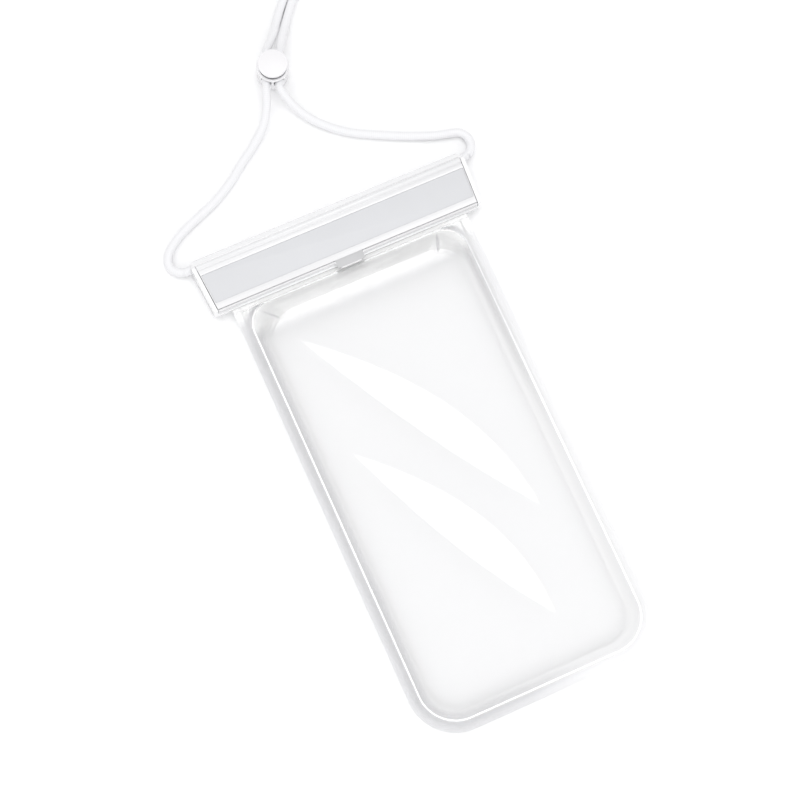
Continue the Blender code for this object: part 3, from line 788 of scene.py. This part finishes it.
@contextmanager
def editing(piece: Piece) -> Iterator[None]:
    """Edit a piece with all its mesh selected, and go back to object mode after.

    Args:
        piece: The piece.
    """
    activate(piece)
    bpy.ops.object.mode_set(mode="EDIT")
    bpy.ops.mesh.select_all(action="SELECT")
    yield
    bpy.ops.object.mode_set(mode="OBJECT")


def select_where(piece: Piece, test: Callable[[Vector, Vector], bool]) -> None:
    """Select the faces of a piece in edit mode by their centre and normal.

    Args:
        piece: The active object, in edit mode.
        test: Says whether a face is selected.
    """
    mesh = bmesh.from_edit_mesh(piece.data)
    for face in mesh.faces:
        face.select_set(test(face.calc_center_median(), face.normal))
    mesh.select_flush_mode()
    bmesh.update_edit_mesh(piece.data)


def dress(piece: Piece, finish: Material, body: Body, slot: str, *nodes: str) -> None:
    """Give a new piece its finish and body, and report it.

    Args:
        piece: The piece.
        finish: Its material.
        body: The body that it rides on.
        slot: The record's material slot; not used.
        nodes: The CAD nodes that it stands for.
    """
    piece.data.materials.clear()
    piece.data.materials.append(finish)
    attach(piece, body.value)
    if nodes:
        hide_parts(*nodes)
    LOG.info("%s rides on %s, %d faces", piece.name, body.value, len(piece.data.polygons))


def eased_copy(node: str, name: str, width: float) -> Piece:
    """Copy a CAD node with the small edge radii that a moulding has.

    Args:
        node: The CAD node.
        name: Name of the copy.
        width: Width of the eased edges.

    Returns:
        The new piece.
    """
    mesh = frame["nodes"][node].data.copy()
    mesh.name = name
    piece = show(name, mesh)
    with editing(piece):
        bpy.ops.mesh.remove_doubles(threshold=MERGE)
        bpy.ops.mesh.dissolve_limited(angle_limit=math.radians(FLAT_ANGLE))
    ease(piece, width, angle=32.0)
    return piece


def smooth_route(points: list[Point], step: float) -> list[Vector]:
    """Points a step apart along a smooth curve through the given ones.

    Args:
        points: Points that the curve passes through.
        step: Distance between the new points.

    Returns:
        The new points.
    """
    knots = [Vector(point) for point in points]
    ends = [knots[0] * 2 - knots[1], *knots, knots[-1] * 2 - knots[-2]]
    fine = []
    for before, start, end, after in zip(ends, ends[1:], ends[2:], ends[3:]):
        for part in range(FINE_STEPS):
            t = part / FINE_STEPS
            bend = (before * -1 + start * 3 - end * 3 + after) * t**3
            curl = (before * 2 - start * 5 + end * 4 - after) * t**2
            fine.append((start * 2 + (end - before) * t + curl + bend) / 2)
    fine.append(knots[-1])
    travelled = [0.0]
    for first, second in zip(fine, fine[1:]):
        travelled.append(travelled[-1] + (second - first).length)
    count = max(2, round(travelled[-1] / step))
    route, at = [], 0
    for index in range(count + 1):
        wanted = travelled[-1] * index / count
        while at < len(fine) - 2 and travelled[at + 1] < wanted:
            at += 1
        share = (wanted - travelled[at]) / max(travelled[at + 1] - travelled[at], MERGE)
        route.append(fine[at].lerp(fine[at + 1], min(share, 1.0)))
    return route


def cord_mesh(name: str, route: list[Vector], radius: float, sides: int) -> Piece:
    """Closed tube along a route, with a UV map that counts diameters along it.

    Args:
        name: Name of the piece.
        route: Ring centres.
        radius: Radius of the tube.
        sides: Points round each ring.

    Returns:
        The tube.
    """
    body = bmesh.new()
    weave = body.loops.layers.uv.new("weave")
    befores, afters = [route[0], *route], [*route[1:], route[-1]]
    tangents = [(after - before).normalized() for before, after in zip(befores, afters)]
    across = tangents[0].orthogonal().normalized()
    angles = [math.tau * side / sides for side in range(sides)]
    rings, reach = [], [0.0]
    for index, (centre, tangent) in enumerate(zip(route, tangents)):
        across = (across - tangent * across.dot(tangent)).normalized()
        up = tangent.cross(across)
        spokes = [across * math.cos(angle) + up * math.sin(angle) for angle in angles]
        rings.append([body.verts.new(centre + spoke * radius) for spoke in spokes])
        if index:
            reach.append(reach[-1] + (centre - route[index - 1]).length / (2 * radius))
    for index, (first, second) in enumerate(zip(rings, rings[1:])):
        for side in range(sides):
            after = (side + 1) % sides
            face = body.faces.new((first[side], first[after], second[after], second[side]))
            marks = ((side, index), (side + 1, index), (side + 1, index + 1), (side, index + 1))
            for loop, (turn, row) in zip(face.loops, marks):
                loop[weave].uv = (turn / sides, reach[row])
    body.faces.new(rings[0][::-1])
    body.faces.new(rings[-1])
    piece = from_bmesh(name, body)
    shade(piece, 60.0)
    return piece


# The pouch


@dataclass
class WeldedBag:
    """The clear bag: two films that are welded along three sides and held in the clip at the top."""

    finishes: Finishes
    width: float = 0.0947
    bottom: float = -0.09975
    bar_bottom: float = 0.07705
    corner: float = 0.018
    weld: float = 0.0045
    slope: float = 0.0039
    neck_flat: float = 0.0030
    neck_slope: float = 0.0067
    neck_held: float = 0.0124
    plane: float = 0.0042
    thickness: float = 0.00032
    depth: float = 0.00785
    film: float = 0.00035
    flange_gap: float = 0.00004
    face_gap: float = 0.00003
    headroom: float = 0.00012
    relief: float = 0.00007
    back_share: float = 0.3
    wave_height: float = 0.00010
    wave_length: float = 0.0065
    wave_drift: float = 0.021
    wave_shift: float = 1.7
    dish_depth: float = 0.00016
    dish_half: float = 0.042
    dish_change: float = 0.034
    dish_level: float = 0.7
    dish_sway: float = 0.3
    held_radius: float = 0.0008
    held_least: float = 0.0002
    held_inset: float = 0.2
    corner_inset: float = 0.9
    window_low_radius: float = 0.014
    window_high_radius: float = 0.009
    face_radius: float = 0.012
    face_step: float = 0.0011
    face_middle: float = 0.0020
    least_radius: float = 0.0012
    slope_steps: int = 18
    side_points: int = 96
    end_points: int = 44
    corner_points: int = 16
    rim: tuple[Flat, ...] = (
        (0.0, -0.4),
        (0.00025, 0.0),
        (0.0007, 0.0),
        (0.0009, -0.5),
        (0.0016, -0.5),
        (0.0024, -0.5),
        (0.0032, -0.5),
        (0.0034, 0.5),
        (0.0037, 1.0),
        (0.0040, 0.5),
    )

    def build(self) -> None:
        """Build both films and dress them."""
        front, back = self.finishes.front, self.finishes.back
        for side, node, finish in ((Side.FRONT, "front_film", front), (Side.BACK, "back_film", back)):
            film = self._sheet(f"{node}_sheet", side)
            dress(film, finish, Body.POUCH, "clear_film", node)

    def _ring(self, inset: float, top: float, low_radius: float, high_radius: float) -> list[Flat]:
        """Rounded outline of the bag, evenly divided.

        Args:
            inset: Distance in from the cut edge.
            top: Height of its upper side.
            low_radius: Radius of its lower corners.
            high_radius: Radius of its upper corners.

        Returns:
            The outline, from the lower right corner round to the bottom.
        """
        half, low = self.width / 2 - inset, self.bottom + inset
        corners = (
            ((half - low_radius, low + low_radius), low_radius, -90.0),
            ((half - high_radius, top - high_radius), high_radius, 0.0),
            ((-half + high_radius, top - high_radius), high_radius, 90.0),
            ((-half + low_radius, low + low_radius), low_radius, 180.0),
        )
        arcs = []
        for (x, y), radius, start in corners:
            turns = [start + 90.0 * step / self.corner_points for step in range(self.corner_points + 1)]
            angles = [math.radians(turn) for turn in turns]
            arcs.append([(x + radius * math.cos(angle), y + radius * math.sin(angle)) for angle in angles])
        outline = []
        for arc, following, count in zip(arcs, [*arcs[1:], arcs[0]], (self.side_points, self.end_points) * 2):
            outline += arc
            (x, y), (next_x, next_y) = arc[-1], following[0]
            for step in range(1, count):
                share = step / count
                outline.append((x + (next_x - x) * share, y + (next_y - y) * share))
        return outline

    def _profile(self) -> list[tuple[float, float, float, float]]:
        """Rings across the rim, from the cut edge inwards.

        Returns:
            Inset, share of the rise, weld relief and neck share of each ring.
        """
        rings = [(inset, 0.0, relief, 0.0) for inset, relief in self.rim]
        for step in range(self.slope_steps + 1):
            share = step / self.slope_steps
            rise = share * share * (3 - 2 * share)
            rings.append((self.weld + self.slope * share, rise, 0.0, share))
        return rings

    def _outlines(self) -> list[tuple[list[Flat], float, float]]:
        """Every ring of a film, from the cut edge to the middle.

        Returns:
            Outline, share of the rise and relief of each ring.
        """
        neck_top = self.bar_bottom + self.neck_held
        base_top = self.bar_bottom - self.neck_flat
        rows = []
        for inset, rise, relief, neck in self._profile():
            if inset < self.weld:
                low = self.corner - inset * self.corner_inset
                high = max(self.held_radius - inset, self.held_least)
                outline = self._ring(inset, neck_top - inset * self.held_inset, low, high)
            else:
                low = self.window_low_radius + (self.face_radius - self.window_low_radius) * neck
                high = self.window_high_radius + (self.face_radius - self.window_high_radius) * neck
                outline = self._ring(inset, base_top - self.neck_slope * neck, low, high)
            rows.append((outline, rise, relief))
        inset = self.weld + self.slope
        top = base_top - self.neck_slope
        while inset < self.width / 2 - self.face_middle:
            inset += self.face_step
            top -= self.face_step
            radius = max(self.face_radius - (inset - self.weld - self.slope), self.least_radius)
            rows.append((self._ring(inset, top, radius, radius), 1.0, 0.0))
        return rows

    def _height(self, x: float, y: float, rise: float) -> float:
        """Extra height of a film at a place: soft waves, leaf-shaped swellings and folds.

        Args:
            x: Place along the bar.
            y: Place up the bag.
            rise: Share of the film's rise there.

        Returns:
            The height, before the film's side is taken into account.
        """
        calm = rise * (1 - rise) * 4
        drift = 2 * math.sin(y / self.wave_drift) + (self.wave_shift if x > 0 else 0.0)
        waves = self.wave_height * calm * math.sin(y / self.wave_length + drift)
        dish = -self.dish_depth * rise * (1 + math.cos(math.pi * x / self.dish_half))
        dish *= self.dish_level + self.dish_sway * math.sin(y / self.dish_change + 1)
        swell = sum(buckle.rise(x, y) for buckle in BUCKLES) * rise
        folds = sum(fold.rise(x, y) for fold in FOLDS) * min(1.0, rise * 4)
        return waves + dish + swell - folds

    def _sheet(self, name: str, side: Side) -> Piece:
        """Loft one film ring by ring and give it its thickness.

        Args:
            name: Name of the piece.
            side: Which film it is.

        Returns:
            The film.
        """
        body = bmesh.new()
        flange = self.thickness + self.flange_gap
        full = self.depth / 2 + self.film - self.face_gap
        loops = []
        for outline, rise, relief in self._outlines():
            loop = []
            for x, y in outline:
                height = flange + (full - flange) * rise + relief * self.relief
                lift = self._height(x, y, rise)
                if side is Side.FRONT:
                    height = min(height + lift, full + self.headroom)
                else:
                    height -= abs(lift) * self.back_share
                loop.append(body.verts.new((x, y, self.plane + side.value * height)))
            loops.append(loop)
        for outer, inner in zip(loops, loops[1:]):
            for index in range(len(outer)):
                after = (index + 1) % len(outer)
                body.faces.new((outer[index], outer[after], inner[after], inner[index]))
        body.faces.new(loops[-1])
        if side is Side.BACK:
            bmesh.ops.reverse_faces(body, faces=body.faces)
        film = from_bmesh(name, body)
        wall = film.modifiers.new("film_thickness", "SOLIDIFY")
        wall.thickness = self.thickness
        wall.offset = -1
        apply_modifiers(film)
        shade(film, 45.0)
        return film


@dataclass
class SnapClip:
    """The clip bar: two moulded halves, the cover's blank plate, its thumb tab and its inner pieces."""

    finishes: Finishes
    back_ease: float = 0.00022
    cover_ease: float = 0.00016
    plate_ease: float = 0.00010
    face: float = 0.0078
    score_y: float = 0.0776
    score_length: float = 0.1060
    score_width: float = 0.00042
    score_depth: float = 0.00070
    pad_low: float = 0.07465
    pad_high: float = 0.07790
    pad_width: float = 0.0109
    pad_tip_width: float = 0.0088
    pad_thickness: float = 0.00030
    pad_grooves: int = 4
    groove_width: float = 0.00018
    groove_depth: float = 0.00012
    pad_ease: float = 0.00006
    plate_growth: float = 0.00026
    end_growth: float = 0.00008
    wall_start: float = 0.0500
    lip_y: float = 0.07706
    lip_depth: float = 0.0009
    lip_length: float = 0.1040
    lip_reach: float = 0.00080
    lip_overlap: float = 0.00015
    lip_ease: float = 0.00008
    cover_low: float = 0.0050
    back_high: float = 0.0034
    film_front: float = 0.00470
    film_back: float = 0.00378

    def build(self) -> None:
        """Build and dress the clip's pieces."""
        back = eased_copy("clip_back", "clip_back_moulding", self.back_ease)
        self._close_ends(back)
        dress(back, self.finishes.clip, Body.POUCH, "white_plastic", "clip_back")
        cover = eased_copy("clip_cover", "clip_cover_moulding", self.cover_ease)
        self._score(cover)
        dress(cover, self.finishes.cover, Body.COVER, "white_plastic", "clip_cover")
        plate = eased_copy("label_plate", "label_plate_blank", self.plate_ease)
        self._fill_recess(plate)
        dress(plate, self.finishes.label, Body.COVER, "label_grey", "label_plate")
        dress(self._pad(), self.finishes.pad, Body.COVER, "label_grey")
        high, low = self.cover_low + self.lip_overlap, self.back_high - self.lip_overlap
        front_lip = self._lip("mouth_lip_front", self.film_front, high, self.lip_reach)
        dress(front_lip, self.finishes.clip, Body.COVER, "white_plastic")
        back_lip = self._lip("mouth_lip_back", low, self.film_back, 0.0)
        dress(back_lip, self.finishes.clip, Body.POUCH, "white_plastic")
        for node, finish in (
            ("seal_strip_back", self.finishes.seal),
            ("seal_strip_front", self.finishes.seal),
            ("hinge_pin", self.finishes.steel),
        ):
            frame["nodes"][node].data.materials[0] = finish

    def _close_ends(self, back: Piece) -> None:
        """Thicken the end walls a little inwards, so that the cover fits closely between them.

        Args:
            back: The back half's moulding.
        """
        for end in (-1.0, 1.0):
            with editing(back):
                select_where(back, lambda centre, normal: self._faces_inwards(centre, normal, end))
                bpy.ops.transform.translate(value=(-end * self.end_growth, 0.0, 0.0))

    def _faces_inwards(self, centre: Vector, normal: Vector, end: float) -> bool:
        """Tell whether a face is on the inner side of the end wall."""
        return normal.x * end < -FACING and centre.x * end > self.wall_start and centre.z > self.back_high

    def _fill_recess(self, plate: Piece) -> None:
        """Widen the plate until its edges meet the sides of its recess.

        Args:
            plate: The label plate.
        """
        width, height, _ = plate.dimensions
        centre = sum((Vector(corner) for corner in plate.bound_box), Vector()) / 8
        growth = (1 + 2 * self.plate_growth / width, 1 + 2 * self.plate_growth / height, 1.0)
        with editing(plate):
            bpy.ops.transform.resize(value=growth, center_override=centre)
        settle(plate)

    def _lip(self, name: str, low: float, high: float, reach: float) -> Piece:
        """Model a lip that closes the clip's mouth on the film.

        Args:
            name: Name of the piece.
            low: Its lower side.
            high: Its upper side.
            reach: How far it stands out of the mouth.

        Returns:
            The lip.
        """
        place = (0.0, self.lip_y + (self.lip_depth - reach) / 2, (low + high) / 2)
        lip = block(name, place, (self.lip_length, self.lip_depth + reach, high - low))
        with editing(lip):
            bpy.ops.mesh.bevel(offset=self.lip_ease, segments=3)
        shade(lip, 40.0)
        return lip

    def _score(self, cover: Piece) -> None:
        """Cut the fine line that runs along the cover's face above its lower edge.

        Args:
            cover: The cover's moulding.
        """
        size = (self.score_length, self.score_width, self.score_depth * 2)
        blade = block("score_blade", (0.0, self.score_y, self.face), size)
        cut = cover.modifiers.new("score_line", "BOOLEAN")
        cut.operation = "DIFFERENCE"
        cut.solver = "EXACT"
        cut.object = blade
        apply_modifiers(cover)
        bpy.data.objects.remove(blade, do_unlink=True)
        shade(cover, SMOOTH_ANGLE)

    def _pad(self) -> Piece:
        """Model the ribbed pad on the thumb tab.

        Returns:
            The pad.
        """
        length, half = self.pad_high - self.pad_low, self.groove_width / 2
        sink = {"value": (0.0, 0.0, -self.groove_depth)}
        place = (0.0, (self.pad_high + self.pad_low) / 2, self.face - self.pad_thickness / 2)
        pad = block("thumb_tab_pad", place, (self.pad_width, length, self.pad_thickness))
        with editing(pad):
            select_where(pad, lambda centre, normal: normal.y < -FACING)
            bpy.ops.transform.resize(value=(self.pad_tip_width / self.pad_width, 1.0, 1.0))
        settle(pad)
        for index in range(self.pad_grooves):
            y = self.pad_low + length * (index + 1) / (self.pad_grooves + 1)
            with editing(pad):
                for side in (y - half, y + half):
                    bpy.ops.mesh.select_all(action="SELECT")
                    bpy.ops.mesh.bisect(plane_co=(0.0, side, 0.0), plane_no=(0.0, 1.0, 0.0))
                select_where(pad, lambda centre, normal: normal.z > FACING and abs(centre.y - y) < half)
                bpy.ops.mesh.extrude_region_move(TRANSFORM_OT_translate=sink)
        ease(pad, self.pad_ease, segments=2)
        return pad


@dataclass
class CordLock:
    """The spring cord lock: a cup with a slot for the cords, a push button and its spring."""

    finishes: Finishes
    cup_ease: float = 0.00030
    button_ease: float = 0.00025
    cap_sides: int = 64
    cap_radius: float = 0.0049
    cap_height: float = 0.0124
    cap_depth: float = 0.0004
    cap_rim: float = 0.0005
    cap_rim_drop: float = 0.00011
    cap_dish: float = 0.0008
    cap_dish_drop: float = 0.000066
    divider_width: float = 0.0010
    divider_depth: float = 0.0007
    divider_reach: float = 0.0056
    divider_top: float = 0.0085
    edge: float = 0.00010
    wire_ease: float = 0.00003
    travel: float = 0.0016

    def build(self) -> None:
        """Build and dress the lock's pieces."""
        cup = eased_copy("cord_lock_body", "cord_lock_cup", self.cup_ease)
        dress(cup, self.finishes.lock, Body.POUCH, "lock_plastic", "cord_lock_body")
        button = eased_copy("cord_lock_button", "cord_lock_plunger", self.button_ease)
        dress(button, self.finishes.lock, Body.BUTTON, "lock_plastic", "cord_lock_button")
        dress(self._cap(), self.finishes.cap, Body.BUTTON, "lock_plastic")
        dress(self._divider(), self.finishes.lock, Body.POUCH, "lock_plastic")
        self._spring()

    def _spring(self) -> None:
        """Build the spring and give it a mesh of its own."""
        spring = eased_copy("cord_lock_spring", "cord_lock_coil_spring", self.wire_ease)
        dress(spring, self.finishes.steel, Body.POUCH, "steel", "cord_lock_spring")
        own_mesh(spring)

    def _divider(self) -> Piece:
        """Model the post between the two cords in the cup's lower window.

        Returns:
            The post.
        """
        turn = math.radians(LOCK_TURN)
        place = (
            LOCK_X + self.divider_reach * math.sin(turn),
            LOCK_Y - self.divider_reach * math.cos(turn),
            self.divider_top / 2 + self.edge,
        )
        size = (self.divider_width, self.divider_depth, self.divider_top)
        post = block("cord_lock_divider", place, size, turn)
        ease(post, self.edge)
        return post

    def _cap(self) -> Piece:
        """Model the satin disc let into the button's head.

        Returns:
            The disc.
        """
        place = (LOCK_X, LOCK_Y, self.cap_height)
        size = {"radius": self.cap_radius, "depth": self.cap_depth}
        bpy.ops.mesh.primitive_cylinder_add(vertices=self.cap_sides, location=place, **size)
        disc = bpy.context.object
        disc.name = "cord_lock_cap"
        with editing(disc):
            select_where(disc, lambda centre, normal: normal.z > FACING)
            for inset, drop in ((self.cap_rim, self.cap_rim_drop), (self.cap_dish, self.cap_dish_drop)):
                bpy.ops.mesh.inset(thickness=inset)
                bpy.ops.transform.translate(value=(0, 0, -drop))
        settle(disc)
        ease(disc, self.edge)
        return disc


@dataclass
class NeckLanyard:
    """The cord: a lower run through the clip, and a neck loop whose spare length lies coiled."""

    finishes: Finishes
    diameter: float = 0.0032
    sides: int = 20
    lower_step: float = 0.0010
    neck_step: float = 0.0011
    bar_half: float = 0.0552
    bore_y: float = 0.09715
    bore_height: float = 0.0026
    lock_gap: float = 0.0003
    lock_offset: float = 0.0025
    lock_height: float = 0.0065
    boss: float = 0.0132
    coil_x: float = 0.0425
    coil_y: float = 0.2142
    coil_outer: float = 0.02205
    coil_pitch: float = 0.00335
    coil_low: float = 0.0023
    coil_layer: float = 0.00325
    coil_start: float = 181.8
    coil_turns: float = 6.696
    coil_steps: int = 24
    lower_layer: float = 3.15
    climb: float = 0.45
    tie_ease: float = 0.00012
    left: tuple[Point, ...] = (
        (-0.0036, 0.1452, 0.0054),
        (-0.0076, 0.1388, 0.0034),
        (-0.0140, 0.1333, 0.0020),
        (-0.0217, 0.1280, LYING),
        (-0.0279, 0.1233, LYING),
        (-0.0365, 0.1184, LYING),
        (-0.0486, 0.1136, LYING),
        (-0.0546, 0.1107, LYING),
        (-0.0590, 0.1075, LYING),
        (-0.0613, 0.1042, LYING),
        (-0.0614, 0.1008, 0.0018),
        (-0.0594, 0.0982, 0.0022),
        (-0.0570, 0.0972, 0.0025),
    )
    right: tuple[Point, ...] = (
        (0.0569, 0.0973, 0.0025),
        (0.0594, 0.0987, 0.0022),
        (0.0609, 0.1013, 0.0018),
        (0.0608, 0.1045, LYING),
        (0.0588, 0.1071, LYING),
        (0.0554, 0.1083, LYING),
        (0.0494, 0.1099, LYING),
        (0.0380, 0.1147, LYING),
        (0.0236, 0.1220, LYING),
        (0.0170, 0.1267, LYING),
        (0.0125, 0.1309, 0.0018),
        (0.0094, 0.1346, 0.0022),
        (0.0070, 0.1382, 0.0030),
        (0.0051, 0.1420, 0.0043),
        (0.0038, 0.1456, 0.0056),
    )
    neck_left: tuple[Point, ...] = (
        (0.0097, 0.1699, 0.0048),
        (0.0124, 0.1738, 0.0032),
        (0.0162, 0.1789, 0.0020),
        (0.0200, 0.1837, LYING),
        (0.0212, 0.1890, LYING),
        (0.0212, 0.1945, 0.0019),
        (0.0210, 0.1998, 0.0023),
    )
    neck_right: tuple[Point, ...] = (
        (0.0125, 0.1677, 0.0048),
        (0.0152, 0.1716, 0.0032),
        (0.0190, 0.1767, 0.0020),
        (0.0230, 0.1814, LYING),
        (0.0274, 0.1844, LYING),
        (0.0328, 0.1865, 0.0023),
        (0.0383, 0.1886, 0.0034),
    )

    def build(self) -> None:
        radius = self.diameter / 2
        lower_route, neck_route = self._lower_route(), self._neck_route()
        lower = cord_mesh("lanyard_lower_cord", lower_route, radius, self.sides)
        dress(lower, self.finishes.cord, Body.POUCH, "white_cord", "lanyard_lower")
        neck = cord_mesh("lanyard_neck_cord", neck_route, radius, self.sides)
        solids = ("lanyard_neck_left", "lanyard_neck_right", "lanyard_coil")
        dress(neck, self.finishes.cord, Body.POUCH, "white_cord", *solids)
        tie = eased_copy("coil_tie", "coil_tie_band", self.tie_ease)
        dress(tie, self.finishes.tie, Body.POUCH, "tie_band", "coil_tie")

    def _in_lock(self, side: int, direction: int) -> list[Point]:
        """Points of a cord inside the lock, from near its middle outwards.

        Args:
            side: Which side of the lock it is on, -1 or 1.
            direction: 1 towards the neck, -1 towards the clip.

        Returns:
            The points.
        """
        turn = math.radians(LOCK_TURN)
        way = Vector((-math.sin(turn), math.cos(turn)))
        across = Vector((math.cos(turn), math.sin(turn)))
        points = []
        for distance in (self.lock_gap, self.boss / 2, self.boss / 2 + self.diameter / 4):
            place = Vector((LOCK_X, LOCK_Y)) + way * (direction * distance)
            place += across * (side * self.lock_offset)
            points.append((place.x, place.y, self.lock_height))
        return points

    def _lower_route(self) -> list[Vector]:
        """Lay the run from the lock through the clip and back to the lock.

        Returns:
            The ring centres.
        """
        stations = [self.bar_half * share for share in (-1.0, -0.5, 0.0, 0.5, 1.0)]
        in_bar = [(x, self.bore_y, self.bore_height) for x in stations]
        ends = self._in_lock(-1, -1), self._in_lock(1, -1)[::-1]
        return smooth_route([*ends[0], *self.left, *in_bar, *self.right, *ends[1]], self.lower_step)

    def _coil(self) -> list[Point]:
        """Wind the coil inwards on the surface, then outwards on top of that layer.

        Returns:
            The points, from where the cord comes in.
        """
        steps = round(self.coil_turns * self.coil_steps)
        points = []
        for index in range(steps + 1):
            turned = self.coil_turns * index / steps
            inward = min(turned, self.lower_layer)
            outward = max(0.0, turned - self.lower_layer - self.climb)
            radius = self.coil_outer + self.coil_pitch * (outward - inward)
            climbed = min(1.0, max(0.0, (turned - self.lower_layer) / self.climb))
            height = self.coil_low + self.coil_layer * climbed * climbed * (3 - 2 * climbed)
            angle = math.radians(self.coil_start) - math.tau * turned
            x, y = self.coil_x + radius * math.cos(angle), self.coil_y + radius * math.sin(angle)
            points.append((x, y, height))
        return points

    def _neck_route(self) -> list[Vector]:
        """Lay the neck loop, from one side of the lock through the coil to the other.

        Returns:
            The ring centres.
        """
        ends = self._in_lock(-1, 1), self._in_lock(1, 1)[::-1]
        points = [*ends[0], *self.neck_left, *self._coil(), *self.neck_right[::-1], *ends[1]]
        return smooth_route(points, self.neck_step)


# The studio


@dataclass(frozen=True)
class Softbox:
    """A soft area light: its name, place, width, height and power in watts."""

    name: str
    place: Point
    width: float
    height: float
    power: float

    def build(self, aim: Point) -> None:
        """Add the light so that it faces a point.

        Args:
            aim: The point.
        """
        light = bpy.data.lights.new(self.name, "AREA")
        light.shape = "RECTANGLE"
        light.size = self.width
        light.size_y = self.height
        light.energy = self.power
        lamp = show(self.name, light)
        lamp.location = self.place
        way = Vector(aim) - Vector(self.place)
        lamp.rotation_euler = way.to_track_quat("-Z", "Y").to_euler()


@dataclass
class Studio:
    """Pale floor, soft lights and the camera."""

    finishes: Finishes
    dim: float = 0.62
    bright: float = 0.97
    horizon: Flat = (0.15, 0.50)
    floor_size: float = 40.0
    floor_drop: float = 0.0002
    softboxes: tuple[Softbox, ...] = (
        Softbox("key_softbox", (-0.45, 0.70, 1.20), 0.70, 0.70, 1.7),
        Softbox("front_softbox", (-0.25, -1.10, 0.70), 1.00, 0.60, 3.8),
        Softbox("overhead_softbox", (0.20, 0.235, 1.36), 0.55, 0.75, 2.6),
    )
    aim: Point = (0.0, 0.02, 0.0)
    sensor: float = 36.0
    near: float = 0.01
    lens: float = 115.56
    eye: Point = (-0.1331, -0.1788, 0.9120)
    right: Point = (0.91139, -0.40971, 0.03891)
    up: Point = (0.38814, 0.88711, 0.24975)
    back: Point = (-0.13684, -0.21251, 0.96753)

    def build(self) -> None:
        """Build the floor, the lights, the surroundings and the camera."""
        self._floor()
        self._surroundings()
        for softbox in self.softboxes:
            softbox.build(self.aim)
        self._camera()

    def _floor(self) -> None:
        """Add the floor."""
        bpy.ops.mesh.primitive_plane_add(size=self.floor_size, location=(0, 0, -self.floor_drop))
        floor = bpy.context.object
        floor.name = "studio_floor"
        settle(floor)
        floor.data.materials.append(self.finishes.floor)

    def _surroundings(self) -> None:
        """Give the world a pale light that is dimmer near the horizon."""
        world = bpy.data.worlds.new("studio_world")
        world.use_nodes = True
        background = world.node_tree.nodes["Background"]
        background.inputs["Color"].default_value = (1.0, 1.0, 1.0, 1.0)
        graph = Graph("studio_world", world.node_tree)
        sky = graph.add("ShaderNodeTexCoord", {}, {}, "Generated")
        share = graph.axis(sky, "Z").ramp(*self.horizon)
        graph.feed(background.inputs["Strength"], self.dim + (self.bright - self.dim) * share)
        bpy.context.scene.world = world
        bpy.context.scene.view_settings.view_transform = "Standard"

    def _camera(self) -> None:
        """Add the camera at the photograph's place."""
        camera = bpy.data.cameras.new("studio_camera")
        camera.lens = self.lens
        camera.sensor_width = self.sensor
        camera.clip_start = self.near
        holder = show("studio_camera", camera)
        axes = Matrix((self.right, self.up, self.back)).transposed().to_4x4()
        holder.matrix_world = Matrix.Translation(self.eye) @ axes
        bpy.context.scene.camera = holder


def main() -> None:
    """Build the studio and the pouch."""
    finishes = Finishes.make()
    Studio(finishes).build()
    NeckLanyard(finishes).build()
    WeldedBag(finishes).build()
    SnapClip(finishes).build()
    CordLock(finishes).build()
    bpy.context.view_layer.update()


if __name__ == "__main__":
    logging.basicConfig(level=logging.INFO)
    main()
